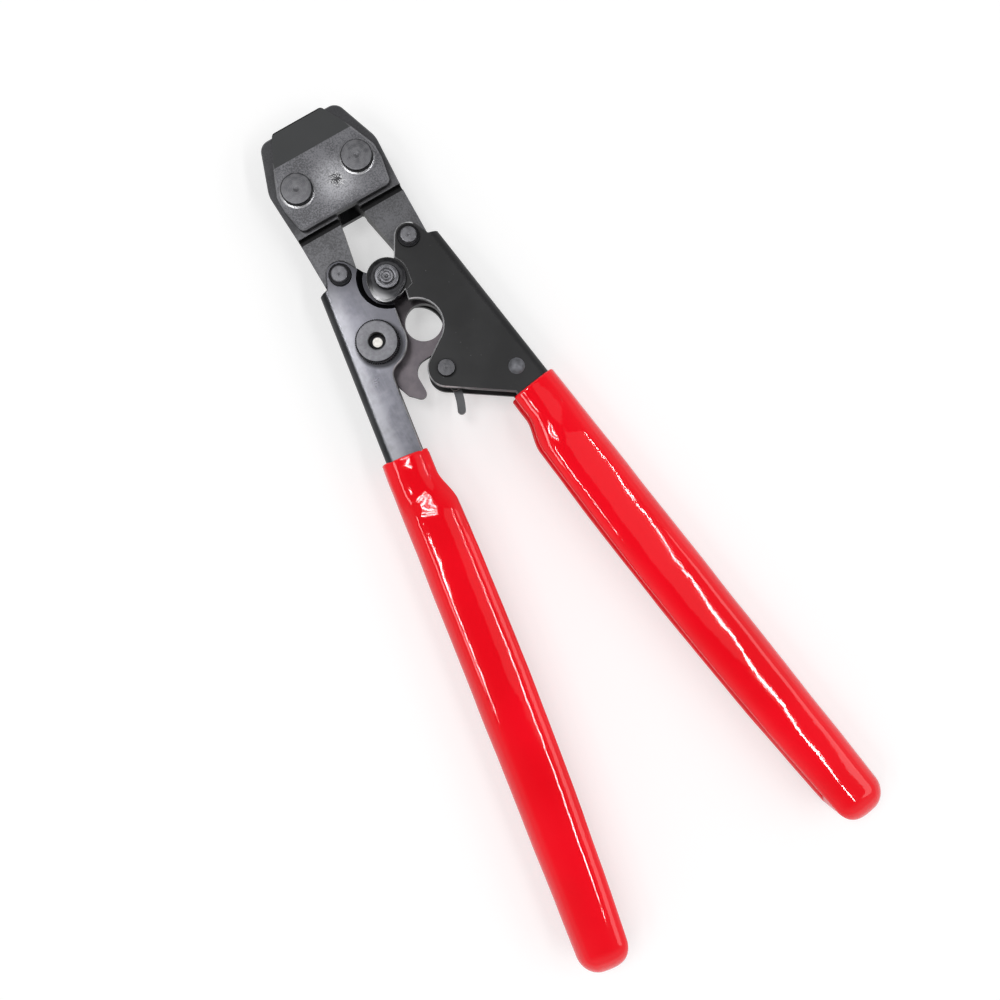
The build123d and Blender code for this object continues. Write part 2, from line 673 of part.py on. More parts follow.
# Pivot washers: egg-shaped plates under the main rivet's heads, with a shallow slope round the rim
tail = polar(PIVOT, WASHER_TAIL_REACH, WASHER_TAIL_AT)
tail_lean = degrees(acos((PIVOT_WASHER_R - WASHER_TAIL_R) / WASHER_TAIL_REACH))
for face, label in ((FRONT, "front_pivot_washer"), (BACK, "back_pivot_washer")):
    with BuildPart() as washer:
        with BuildSketch(level(face * WASHER_IN)):
            Circle(PIVOT_WASHER_R)
            with Locations(tail):
                Circle(WASHER_TAIL_R)
            Polygon(
                polar(PIVOT, PIVOT_WASHER_R, WASHER_TAIL_AT - tail_lean),
                polar(tail, WASHER_TAIL_R, WASHER_TAIL_AT - tail_lean),
                polar(tail, WASHER_TAIL_R, WASHER_TAIL_AT + tail_lean),
                polar(PIVOT, PIVOT_WASHER_R, WASHER_TAIL_AT + tail_lean),
                align=None,
            )
            Circle(pivot_bore, mode=Mode.SUBTRACT)
        extrude(amount=face * PIVOT_WASHER_H)
        outer_face = washer.faces().sort_by(Axis.Z)[-1 if face == FRONT else 0]
        chamfer(outer_face.outer_wire().edges(), WASHER_RIM, WASHER_RIM_DROP, reference=outer_face)
    washer.part.label = label
    export_step(washer.part, f"parts/{label}.step")

# Spring anchor rivet: a ball-shaped dome on the front, a flat head on the back
dome_r = (ANCHOR_HEAD_R**2 + ANCHOR_DOME_H**2) / (2 * ANCHOR_DOME_H)
dome_centre = (0, FLANGE_OUT + ANCHOR_DOME_H - dome_r)
dome_rim = degrees(acos(ANCHOR_HEAD_R / dome_r))
anchor_back = -FLANGE_OUT - ANCHOR_DOME_H
with BuildPart() as spring_anchor_rivet:
    with BuildSketch(upright(anchor)):
        with BuildLine():
            dome = ThreePointArc(
                (ANCHOR_HEAD_R, FLANGE_OUT),
                polar(dome_centre, dome_r, (dome_rim + 90) / 2),
                (0, FLANGE_OUT + ANCHOR_DOME_H),
            )
            Polyline(
                dome @ 1,
                (0, anchor_back),
                (ANCHOR_HEAD_R - HEAD_CHAMFER, anchor_back),
                (ANCHOR_HEAD_R, anchor_back + HEAD_CHAMFER),
                (ANCHOR_HEAD_R, -FLANGE_OUT),
                (ANCHOR_R, -FLANGE_OUT),
                (ANCHOR_R, FLANGE_OUT),
                dome @ 0,
            )
        make_face()
    revolve(axis=Axis((*anchor, MID), (0, 0, 1)))
spring_anchor_rivet.part.label = "spring_anchor_rivet"
export_step(spring_anchor_rivet.part, "parts/spring_anchor_rivet.step")

# Ratchet sector: hub on the main rivet, slot for the adjuster's eccentric, teeth, notch and hook
dial_heading = degrees(atan2(DIAL[1], DIAL[0]))
eccentric = polar(DIAL, ECCENTRICITY, dial_heading)
slot_centre = polar(DIAL, ECCENTRICITY * 3 / 4, dial_heading)
ledge_end = polar(NOTCH_CENTRE, NOTCH_R, 90)
tooth_to = TOOTH_FROM - TOOTH_COUNT * TOOTH_PITCH
hook_face_x = NOTCH_CENTRE[0] - NOTCH_R
with BuildPart() as ratchet_sector:
    with BuildSketch(level(0)):
        with BuildLine():
            toothed = ThreePointArc(
                polar(PIVOT, TOOTH_TIP_R, TOOTH_FROM),
                polar(PIVOT, TOOTH_TIP_R, (TOOTH_FROM + tooth_to) / 2),
                polar(PIVOT, TOOTH_TIP_R, tooth_to),
            )
            Polyline(toothed @ 1, polar(PIVOT, LEDGE_R, tooth_to), ledge_end)
            notch = ThreePointArc(
                ledge_end, polar(NOTCH_CENTRE, NOTCH_R, 135), polar(NOTCH_CENTRE, NOTCH_R, 180)
            )
            face_line = Line(notch @ 1, (hook_face_x, HOOK_LOW))
            tip = ThreePointArc(
                face_line @ 1,
                (hook_face_x - HOOK_TIP_R, HOOK_LOW - HOOK_TIP_R),
                polar((hook_face_x - HOOK_TIP_R, HOOK_LOW), HOOK_TIP_R, -135),
            )
            Polyline(
                tip @ 1,
                HOOK_BACK,
                HOOK_ROOT,
                polar(DIAL, SECTOR_BOSS_R, dial_heading),
                polar(DIAL, SECTOR_BOSS_R, dial_heading - 90),
                polar(PIVOT, SECTOR_HUB_R, dial_heading - 90),
                polar(PIVOT, SECTOR_HUB_R, TOOTH_FROM + 90),
                toothed @ 0,
            )
        make_face()
        with Locations(PIVOT):
            Circle(SECTOR_HUB_R)
            Circle(MAIN_SHANK_R + RUNNING_FIT, mode=Mode.SUBTRACT)
        with Locations(DIAL):
            Circle(SECTOR_BOSS_R)
        with Locations(Location(slot_centre, dial_heading)):
            SlotCenterToCenter(2 * ECCENTRICITY, 2 * (ECCENTRIC_R + SLOT_FIT), mode=Mode.SUBTRACT)
        with Locations(LIGHTENING_CENTRE):
            Circle(LIGHTENING_R, mode=Mode.SUBTRACT)
        for tooth in range(TOOTH_COUNT):
            lead = TOOTH_FROM - tooth * TOOTH_PITCH
            Polygon(
                polar(PIVOT, TOOTH_TIP_R + LAYER_GAP, lead),
                polar(PIVOT, TOOTH_ROOT_R, lead),
                polar(PIVOT, TOOTH_TIP_R + LAYER_GAP, lead - TOOTH_PITCH),
                align=None,
                mode=Mode.SUBTRACT,
            )
    extrude(amount=SECTOR_HALF, both=True)
ratchet_sector.part.label = "ratchet_sector"
export_step(ratchet_sector.part, "parts/ratchet_sector.step")

# Adjuster dial: dial, front journal, eccentric and rear journal in one piece
with BuildPart() as adjuster_dial:
    with BuildSketch(level(FLANGE_OUT + DIAL_GAP)):
        with Locations(DIAL):
            Circle(DIAL_R)
    extrude(amount=DIAL_TOP - FLANGE_OUT - DIAL_GAP)
    chamfer(adjuster_dial.edges().sort_by(Axis.Z)[-1], DIAL_CHAMFER)
    with BuildSketch(level(FLANGE_IN)):
        with Locations(DIAL):
            Circle(DIAL_JOURNAL_R)
    extrude(amount=SHEET + DIAL_GAP)
    with BuildSketch(level(-FLANGE_IN)):
        with Locations(eccentric):
            Circle(ECCENTRIC_R)
    extrude(amount=2 * FLANGE_IN)
    with BuildSketch(level(-FLANGE_IN)):
        with Locations(DIAL):
            Circle(REAR_JOURNAL_R)
    extrude(amount=-SHEET - DIAL_GAP)
    with Locations((*DIAL, MID + DIAL_TOP)):
        Hole(SCREW_R + FIXED_FIT)
        Hole(SOCKET_R, depth=SOCKET_DEPTH)
adjuster_dial.part.label = "adjuster_dial"
export_step(adjuster_dial.part, "parts/adjuster_dial.step")

# Adjuster screw: goes in from the back, and its tip shows in the dial's socket
screw_base = washer_low - SCREW_HEAD_H
with BuildPart() as adjuster_screw:
    with BuildSketch(level(screw_base)):
        with Locations(DIAL):
            Circle(SCREW_R + SCREW_LIP)
            RegularPolygon(SCREW_HEX_R, 6, mode=Mode.SUBTRACT)
    extrude(amount=SCREW_HEX_DEPTH)
    with BuildSketch(level(screw_base + SCREW_HEX_DEPTH)):
        with Locations(DIAL):
            Circle(SCREW_R + SCREW_LIP)
    extrude(amount=SCREW_HEAD_H - SCREW_HEX_DEPTH)
    with BuildSketch(level(washer_low)):
        with Locations(DIAL):
            Circle(SCREW_R)
    extrude(amount=DIAL_TOP - SOCKET_DEPTH + SCREW_TIP_H - washer_low)
adjuster_screw.part.label = "adjuster_screw"
export_step(adjuster_screw.part, "parts/adjuster_screw.step")

# Pawl: hub, nose just clear of the tooth tips, release lever and spring peg
pawl_reach = hypot(*PAWL)
nose_r = TOOTH_TIP_R + NOSE_GAP
nose_turn = degrees(acos((pawl_reach**2 + NOSE_REACH**2 - nose_r**2) / (2 * pawl_reach * NOSE_REACH)))
nose_heading = degrees(atan2(-PAWL[1], -PAWL[0])) - nose_turn
nose_tip = polar(PAWL, NOSE_REACH, nose_heading)
nose_back = polar(PAWL, NOSE_REACH - NOSE_BACK_SHORT, nose_heading - NOSE_BACK_TURN)
with BuildPart() as ratchet_pawl:
    with BuildSketch(level(0)):
        with BuildLine():
            ThreePointArc(PAWL, LEVER_MID, LEVER_END)
        trace(line_width=LEVER_WIDTH)
        with Locations(LEVER_END):
            Circle(LEVER_WIDTH / 2)
        Polygon(
            PAWL,
            tangent_point(PAWL, PAWL_HUB_R, nose_tip, 1),
            nose_tip,
            nose_back,
            tangent_point(PAWL, PAWL_HUB_R, nose_back, -1),
            align=None,
        )
        with Locations(PAWL):
            Circle(PAWL_HUB_R)
            Circle(PAWL_PIN_R + RUNNING_FIT, mode=Mode.SUBTRACT)
    extrude(amount=SECTOR_HALF, both=True)
    with BuildSketch(level(SECTOR_HALF)):
        with Locations(PEG):
            Circle(PEG_R)
    extrude(amount=PEG_H)
ratchet_pawl.part.label = "ratchet_pawl"
export_step(ratchet_pawl.part, "parts/ratchet_pawl.step")

# Pawl spring: coil body drawn plain, with a wire loop round the peg and one round the anchor rivet
spring_span = (anchor[0] - PEG[0], anchor[1] - PEG[1])
spring_length = hypot(*spring_span)
spring_axis = (spring_span[0] / spring_length, spring_span[1] / spring_length, 0)
spring_z = MID + SPRING_LEVEL
peg_loop_r = PEG_R + SPRING_LOOP_GAP + SPRING_WIRE_R
anchor_loop_r = ANCHOR_R + SPRING_LOOP_GAP + SPRING_WIRE_R


def on_spring(distance):
    """The plane across the spring at a distance from the peg."""
    start = (PEG[0] + distance * spring_axis[0], PEG[1] + distance * spring_axis[1], spring_z)
    return Plane(start, x_dir=(0, 0, 1), z_dir=spring_axis)


with BuildPart() as pawl_spring:
    with BuildSketch(on_spring(SPRING_LEAD)):
        Circle(SPRING_R)
    extrude(amount=spring_length - 2 * SPRING_LEAD)
    with BuildSketch(on_spring(peg_loop_r)):
        Circle(SPRING_WIRE_R)
    extrude(amount=spring_length - peg_loop_r - anchor_loop_r)
    with Locations((*PEG, spring_z)):
        Torus(peg_loop_r, SPRING_WIRE_R)
    with Locations((*anchor, spring_z)):
        Torus(anchor_loop_r, SPRING_WIRE_R)
pawl_spring.part.label = "pawl_spring"
export_step(pawl_spring.part, "parts/pawl_spring.step")
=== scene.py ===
# %% [markdown]
# A hand-powered clamp tool lying flat on white paper, seen from above.
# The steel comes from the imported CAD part: its jaws, plates, channel handles and ratchet already have the
# right shape, so they stay and only get their finishes here. Other things are more than CAD drew them:
# the dipped grips, the turned rivets and pins, the knurled dial, the wound spring and the pressed seats
# round the head rivets. Those are worked out below as numpy surfaces, in the same frame and in metres.

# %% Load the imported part
import json
import math

import bpy
import mathutils
import numpy as np
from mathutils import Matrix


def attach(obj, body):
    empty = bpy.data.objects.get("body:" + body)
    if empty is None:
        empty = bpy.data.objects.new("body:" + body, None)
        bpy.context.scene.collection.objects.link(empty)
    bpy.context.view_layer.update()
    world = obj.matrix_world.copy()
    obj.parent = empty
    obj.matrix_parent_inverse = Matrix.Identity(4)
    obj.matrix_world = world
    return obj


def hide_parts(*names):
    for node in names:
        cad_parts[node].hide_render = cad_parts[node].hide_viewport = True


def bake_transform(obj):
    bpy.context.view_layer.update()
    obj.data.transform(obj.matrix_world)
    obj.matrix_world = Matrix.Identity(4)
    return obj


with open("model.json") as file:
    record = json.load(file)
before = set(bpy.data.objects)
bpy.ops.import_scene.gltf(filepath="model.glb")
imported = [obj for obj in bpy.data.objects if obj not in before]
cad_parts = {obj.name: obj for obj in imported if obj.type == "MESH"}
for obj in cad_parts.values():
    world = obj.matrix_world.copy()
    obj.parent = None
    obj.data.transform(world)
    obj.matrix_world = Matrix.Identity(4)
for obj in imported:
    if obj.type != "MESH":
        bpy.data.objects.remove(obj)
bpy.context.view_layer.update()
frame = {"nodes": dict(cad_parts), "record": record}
MM = 0.001

# %% [markdown]
# The photograph was taken by hand from above, at about an arm's bent length. A camera that looks
# straight down would put the grip ends a few pixels wrong, so this one leans two degrees, as a hand does.
# The lean, the height and the lens come from matching the rivets and grip ends with the photograph.

# %% Camera
CAMERA_PLACE = (-15.58 * MM, -79.05 * MM, 403.42 * MM)
CAMERA_LEAN = (0.534, -1.627, -30.046)
CAMERA_LENS = 41.92

camera = bpy.data.objects.new("overhead_camera", bpy.data.cameras.new("overhead_camera"))
camera.data.lens = CAMERA_LENS
camera.data.sensor_width = 36.0
camera.data.clip_start = 0.01
camera.location = CAMERA_PLACE
camera.rotation_euler = [math.radians(angle) for angle in CAMERA_LEAN]
bpy.context.scene.collection.objects.link(camera)
bpy.context.scene.camera = camera
bpy.context.scene.view_settings.view_transform = "Standard"
print("camera", round(CAMERA_PLACE[2], 3), "m above the paper, lens", CAMERA_LENS, "mm")

# %% [markdown]
# Every finish below is a small graph of shader nodes. A few helpers keep those graphs short. One turns
# an sRGB hex colour, as a colour picker shows it, into the linear numbers that a shader adds up. One adds
# a node with its settings and links, and another starts a material with its constant values.

# %% Colour and node helpers
def linear(colour):
    """An sRGB hex colour as linear red, green, blue and full alpha, by the sRGB curve."""
    share = np.array([int(colour[i:i + 2], 16) for i in (1, 3, 5)]) / 255
    return (*np.where(share > 0.04045, ((share + 0.055) / 1.055) ** 2.4, share / 12.92), 1.0)


def out(end):
    """The socket to link from: a node stands for its first output that is in use."""
    return next(one for one in end.outputs if one.enabled) if isinstance(end, bpy.types.Node) else end


def add(tree, kind, inputs=(), **settings):
    """Adds a node. Its settings are its own fields; each input is a value, a socket or another node,
    given in the order of the node's sockets or by a socket's name or number."""
    made = tree.nodes.new("ShaderNode" + kind)
    for field, value in settings.items():
        setattr(made, field, value)
    for socket, value in (inputs.items() if isinstance(inputs, dict) else enumerate(inputs)):
        if isinstance(value, (bpy.types.Node, bpy.types.NodeSocket)):
            tree.links.new(out(value), made.inputs[socket])
        else:
            made.inputs[socket].default_value = value
    return made


def new_finish(name, **constants):
    """A material with constant sockets set by name, its graph, and the socket for where a piece lies."""
    material = bpy.data.materials.new(name)
    material.use_nodes = True
    tree = material.node_tree
    shader = tree.nodes["Principled BSDF"]
    for socket, value in constants.items():
        shader.inputs[socket.replace("_", " ")].default_value = value
    return material, tree, add(tree, "TexCoord").outputs["Object"]


def surface(tree, **ends):
    """Links nodes to the surface shader's sockets of the same names."""
    for socket, end in ends.items():
        tree.links.new(out(end), tree.nodes["Principled BSDF"].inputs[socket.replace("_", " ")])


print("mid grey 808080 is", round(float(linear("#808080")[0]), 3), "in linear light")

# %% [markdown]
# The tool lies on a sheet of white paper in a bright room. The paper is a plain white matt plane that
# takes the soft shadows. It lets light and sight through from below, so the back can be looked at too.

# %% Paper
PAPER_HALF = 3.0
PAPER_LIFT = 0.48
paper_mesh = bpy.data.meshes.new("paper")
paper_corners = [(x * PAPER_HALF, y * PAPER_HALF, 0) for x, y in ((-1, -1), (1, -1), (1, 1), (-1, 1))]
paper_mesh.from_pydata(paper_corners, [], [(0, 1, 2, 3)])
paper = bpy.data.objects.new("paper", paper_mesh)
bpy.context.scene.collection.objects.link(paper)

# White copy paper: matt and even. The share of light that only sight and mirrors get lifts it to white
# without putting more light on the tool.
white_paper, tree, _ = new_finish("white_paper", Roughness=0.9, Base_Color=linear("#CCCCCC"))
path = add(tree, "LightPath")
seen = path.outputs["Is Camera Ray"]
for ray in ("Is Glossy Ray", "Is Transmission Ray"):
    seen = add(tree, "Math", (seen, path.outputs[ray]), operation="MAXIMUM")
glow = add(tree, "Emission", {"Strength": add(tree, "Math", (seen, PAPER_LIFT), operation="MULTIPLY")})
lit = add(tree, "AddShader", (tree.nodes["Principled BSDF"], glow))
behind = add(tree, "NewGeometry").outputs["Backfacing"]
sheet = add(tree, "MixShader", (behind, lit, add(tree, "BsdfTransparent")))
tree.links.new(out(sheet), tree.nodes["Material Output"].inputs["Surface"])
paper.data.materials.append(white_paper)
print("paper", 2 * PAPER_HALF, "m square at z = 0")

# %% [markdown]
# The flat tops in the photograph mirror something dim overhead, while rounded edges get lighter the further
# down they look. So the room is a pale tent that is dark at the top and bright near the floor.

# %% The tent
TENT = ((0.15, 1.00), (0.35, 0.56), (0.60, 0.56), (0.80, 0.31), (0.97, 0.08))
world = bpy.data.worlds.new("pale_tent")
world.use_nodes = True
bpy.context.scene.world = world
tree = world.node_tree
height = add(tree, "SeparateXYZ", (add(tree, "TexCoord").outputs["Generated"],)).outputs["Z"]
tent = add(tree, "ValToRGB", (height,))
stops = tent.color_ramp.elements
while len(stops) < len(TENT):
    stops.new(0.5)
for stop, (at_height, level) in zip(stops, TENT):
    stop.position = at_height
    stop.color = (level, level, level, 1)
tree.links.new(out(tent), tree.nodes["Background"].inputs["Color"])
up = np.linspace(0, 1, 2000)
on_paper = np.mean(2 * up * np.interp(up, *np.transpose(TENT)))
print("light from the tent on flat paper:", round(float(on_paper), 2))

# %% [markdown]
# Narrow lamps hang left and right of the camera, upright in the picture: the grips mirror them as thin
# streaks. Because the right grip runs slantwise under its lamp, the streak wanders from the web side to the
# middle of the grip, and it widens where the lamp is wider. A dim window and a dim strip further out draw the
# pale lines low on the grips' sides, and a broad panel gives the right grip its sheen. Four window strips put
# the grey gleam on the steel and the stripes on the left grip's neck.

# %% Lamps
AIM = np.array((0.0, -0.08, 0.0))
LAMP_HEIGHT = 0.95
ACROSS_PICTURE = np.array((0.867, -0.498, 0.0))
UP_PICTURE = np.array((0.498, 0.867, 0.0))
# Metres right of and above the main pivot in the picture, the way it runs, width, length and brightness.
LAMPS = {
    "left_lamp": (-0.265, -0.32, UP_PICTURE, 0.016, 0.24, 50.0),
    "left_window": (-0.48, -0.25, UP_PICTURE, 0.10, 0.50, 6.0),
    "right_lamp": (0.43, 0.09, UP_PICTURE, 0.010, 0.28, 55.0),
    "right_near_lamp": (0.43, -0.24, UP_PICTURE, 0.026, 0.38, 40.0),
    "right_strip": (0.86, -0.10, UP_PICTURE, 0.30, 0.80, 1.8),
    "right_panel": (0.26, -0.03, UP_PICTURE, 0.32, 0.46, 0.4),
}
WINDOW_STRIPS = 4
STRIP_FROM, STRIP_STEP = 0.01, 0.055
for strip in range(WINDOW_STRIPS):
    strip_up = STRIP_FROM + STRIP_STEP * strip
    LAMPS[f"window_strip_{strip}"] = (-0.20, strip_up, ACROSS_PICTURE, 0.015, 0.24, 40.0)
for name, (right, up, run_way, across, length, brightness) in LAMPS.items():
    lamp = bpy.data.lights.new(name, "AREA")
    lamp.shape = "RECTANGLE"
    lamp.size, lamp.size_y = across, length
    lamp.energy = brightness * math.pi * across * length
    stand = right * ACROSS_PICTURE + up * UP_PICTURE + np.array((0, 0, LAMP_HEIGHT))
    away = (stand - AIM) / np.linalg.norm(stand - AIM)
    along = run_way - away * run_way.dot(away)
    along = along / np.linalg.norm(along)
    holder = bpy.data.objects.new(name, lamp)
    holder.location = stand
    axes = np.stack((np.cross(along, away), along, away), 1)
    holder.rotation_euler = mathutils.Matrix(axes.tolist()).to_euler()
    holder.visible_camera = False
    bpy.context.scene.collection.objects.link(holder)
    print(name, np.round(stand, 2), round(lamp.energy, 2), "W")

# %% [markdown]
# All the new pieces are skins: a grid of points worked out from two parameters, one round the piece and
# one along it. This helper joins the grid into faces. The loop round always closes on itself. Along the
# piece it either closes too, as on a ring, or ends in a pole at each end, so that no skin has an open edge.

# %% From a grid of points to a closed skin
def skin(name, grid, ring=False, crease=None):
    """Joins grid[along, round, xyz] into quads, with a fan to a pole at each end unless it is a ring. The
    volume's sign tells which way the faces look. An edge that bends past crease degrees is sharp."""
    rows, cols = grid.shape[:2]
    index = np.arange(rows * cols).reshape(rows, cols)
    if ring:
        index = np.vstack((index, index[:1]))
    after = np.roll(index, -1, axis=1)
    quads = np.stack((index[:-1], index[1:], after[1:], after[:-1]), -1).reshape(-1, 4)
    points = grid.reshape(-1, 3)
    faces = quads.tolist()
    if not ring:
        first, last = len(points), len(points) + 1
        points = np.vstack((points, grid[0].mean(0), grid[-1].mean(0)))
        faces += np.stack((index[0], after[0], np.full(cols, first)), -1).tolist()
        faces += np.stack((after[-1], index[-1], np.full(cols, last)), -1).tolist()
    corners = points[quads] - points.mean(0)
    volume = np.einsum("ij,ij->i", corners[:, 0], np.cross(corners[:, 1], corners[:, 2])).sum()
    volume += np.einsum("ij,ij->i", corners[:, 0], np.cross(corners[:, 2], corners[:, 3])).sum()
    if volume < 0:
        faces = [face[::-1] for face in faces]
    mesh = bpy.data.meshes.new(name)
    mesh.from_pydata(points.tolist(), [], faces)
    mesh.shade_smooth()
    if crease is not None:
        mesh.set_sharp_from_angle(angle=math.radians(crease))
    piece = bpy.data.objects.new(name, mesh)
    bpy.context.scene.collection.objects.link(piece)
    print(name, len(points), "points, about", round(abs(volume) / 6 / MM ** 3), "cubic mm inside")
    return piece


# %% [markdown]
# The grips are red vinyl, made by dipping the hot steel channel in liquid plastisol and baking it.
# The skin follows the channel: a round over the folded web, a slow crown across the flange, a thick rolled
# lip over the flange's free edge, and a groove between the two lips where the channel is open. A box with a
# bevel would miss the crown, which gives the long highlights their width, and the waves that a dipped skin
# always has. So the sleeve is a section carried down the handle, with width and groove set by formulas.

# %% The sleeve's section
MID = 13.0
GRIP_HALF = 11.2
WEB_ROUND = 6.1
CROWN_TILT = math.radians(9.4)
CROWN_REACH = 6.9
LIP_REACH = 7.6
LIP_ROUND = 2.65
LIP_UNDER = 2.0
GROOVE_ROUND = 1.0
ARC_STEPS, CROWN_STEPS, TURN_STEPS = 30, 20, 16


def sleeve_section():
    """Upper half of the loop from the middle of the web side to the middle of the groove, then its mirror
    image. The web side is an arc, the crown a parabola, the lip a quarter ellipse, and the groove two quarter
    circles. Columns: share of the way across, depth into the groove, height above the mid-plane."""
    arc = np.linspace(0, math.pi / 2 - CROWN_TILT, ARC_STEPS)
    turn = np.linspace(0, math.pi / 2, TURN_STEPS)
    part = np.linspace(0, 1, CROWN_STEPS)
    arc_width = WEB_ROUND * (1 - math.sin(CROWN_TILT))
    drop = 0.5 * math.tan(CROWN_TILT) * CROWN_REACH
    arc_foot = GRIP_HALF - drop - WEB_ROUND * math.cos(CROWN_TILT)
    peak = arc_width + CROWN_REACH
    lip_top = GRIP_HALF - LIP_ROUND
    floor = lip_top - LIP_UNDER - GROOVE_ROUND
    lines = []

    def stretch(across, groove, height):
        lines.append(np.stack(np.broadcast_arrays(across / (peak + LIP_REACH), groove, height), -1)[:-1])

    stretch(0, 0, np.linspace(0, arc_foot, 8))
    stretch(WEB_ROUND * (1 - np.cos(arc)), 0, arc_foot + WEB_ROUND * np.sin(arc))
    stretch(arc_width + CROWN_REACH * part, 0, GRIP_HALF - drop * (1 - part) ** 2)
    stretch(peak + LIP_REACH * np.sin(turn), 0, lip_top + LIP_ROUND * np.cos(turn))
    stretch(peak + LIP_REACH, LIP_UNDER * (1 - np.cos(turn)), lip_top - LIP_UNDER * np.sin(turn))
    stretch(peak + LIP_REACH, LIP_UNDER + GROOVE_ROUND * np.sin(turn), floor + GROOVE_ROUND * np.cos(turn))
    stretch(peak + LIP_REACH, LIP_UNDER + GROOVE_ROUND, np.linspace(floor, 0, 6))
    upper = np.vstack(lines + [np.array([[1, LIP_UNDER + GROOVE_ROUND, 0]])])
    lower = upper[-2:0:-1] * np.array((1, 1, -1))
    return np.vstack((upper, lower))


section = sleeve_section()
print("sleeve section:", len(section), "points round")

# %% [markdown]
# Down the handle the sleeve starts as a straight neck, flares where the channel widens, has a slight belly in
# the palm and tapers to its end, where the groove runs out. Widths taken at a few places would leave kinks,
# which gloss shows at once, so the width is a smooth function of the distance. The belly is the parabola
# through three widths.

# %% How the sleeve changes down the handle
GRIP_TOP = 58.5
GRIP_END = 242.0
STEEL_END = 236.6
WEB_SIDE = -1.8
NECK = 14.4
FLARE = (66.0, 78.0)
BELLY = np.polyfit((78.0, 150.0, GRIP_END), (17.6, 18.5, 15.2), 2)
GROOVE_STOP = (226.0, 233.0)


def smooth(low, high, value):
    """Rises from 0 to 1 between two values with no kink, as 3t squared less 2t cubed."""
    t = np.clip((value - low) / (high - low), 0, 1)
    return t * t * (3 - 2 * t)


def open_side(run):
    """Width of the sleeve at its open side: straight neck, a cubic flare, then the belly's parabola."""
    t = np.clip((run - FLARE[0]) / (FLARE[1] - FLARE[0]), 0, 1)
    rise = np.polyval(BELLY, FLARE[1]) - NECK
    slope = np.polyval(np.polyder(BELLY), FLARE[1]) * (FLARE[1] - FLARE[0])
    flare = NECK + rise * (3 * t ** 2 - 2 * t ** 3) + slope * (t ** 3 - t ** 2)
    return np.where(run > FLARE[1], np.polyval(BELLY, run), flare)


widths = open_side(np.array((60, 78, 150, 241))) - WEB_SIDE
print("width at mouth, flare, belly and end:", np.round(widths, 1))

# %% [markdown]
# The sleeve is a real sock with a wall: the rows start inside at the closed end, run up along the steel,
# roll over the mouth and come down again outside to the rounded end.

# %% Rows of the sleeve
WALL = 1.75
MOUTH_ROUND = 0.7
END_ROUND = 9.2
SWELL_STARTS = (59.0, 64.0)
WALL_ROWS, MOUTH_ROWS, OUTER_ROWS, END_ROWS = 60, 9, 340, 38


def sleeve_rows(closed_end):
    """Columns for each row: distance down the handle, inset into the wall, plan scale, height scale, share of
    swell. The end is a quarter ellipse both in plan and in height."""
    def rows(run, inset=0, plan=1, tall=1, swell=0):
        return np.stack(np.broadcast_arrays(run, inset, plan, tall, swell), -1)

    inner = rows(STEEL_END - np.array((0, 0.5, 2, 5)), WALL, np.array((0.2, 0.6, 0.85, 1)))
    wall = rows(np.linspace(STEEL_END - 8, GRIP_TOP + 1, WALL_ROWS), WALL)
    rim = rows(np.array([GRIP_TOP]), WALL)
    turn = np.linspace(0, math.pi / 2, MOUTH_ROWS)
    mouth = rows(GRIP_TOP + MOUTH_ROUND * (1 - np.cos(turn)), MOUTH_ROUND * (1 - np.sin(turn)))
    run = np.linspace(GRIP_TOP + MOUTH_ROUND + 0.3, closed_end - END_ROUND, OUTER_ROWS)
    outer = rows(run, swell=smooth(*SWELL_STARTS, run))
    turn = np.linspace(0, math.pi / 2, END_ROWS + 2)[1:-1]
    shrink = np.cos(turn)
    end = rows(closed_end - END_ROUND * (1 - np.sin(turn)), plan=shrink, tall=shrink ** 0.9, swell=shrink)
    return np.vstack((inner, wall, rim, mouth, outer, end))


print("sleeve rows:", len(sleeve_rows(GRIP_END)))

# %% [markdown]
# On each handle the section is set between the web side and the open side. The neck is low, where the dip
# is thin, and it climbs where the channel widens: that climb mirrors the window strips. Wavy swells of less
# than a tenth of a millimetre are laid on along the skin's own normals, because they are what makes the long
# highlights wander. No two dips drain alike, so the left grip ends a millimetre lower and has the lower neck.

# %% The two grips
LEAN = math.radians(8.4)
WEB_TOP = (22.2, 5.5)
NECK_SUNK = {"left": 1.1, "right": 0.5}
NECK_CLIMB = (71.0, 81.0)
SUNK_FACE = (0.70, 0.95)
# Length of a wave down the grip, waves round it, size and start.
SWELLS = ((41.0, 1, 0.050, 0.3), (23.0, -2, 0.022, 1.9), (10.2, 6, 0.006, 0.9), (7.1, 3, 0.003, 2.2))


def on_handle(run, width, height, side):
    """A place on a handle in metres, from the run down its web, the width inwards from the web's face and the
    height above the mid-plane: side is -1 for the left handle and 1 for the right."""
    x = side * (WEB_TOP[0] + run * math.sin(LEAN) - width * math.cos(LEAN))
    y = WEB_TOP[1] - run * math.cos(LEAN) - width * math.sin(LEAN)
    return np.stack((x, y, MID + height), -1) * MM


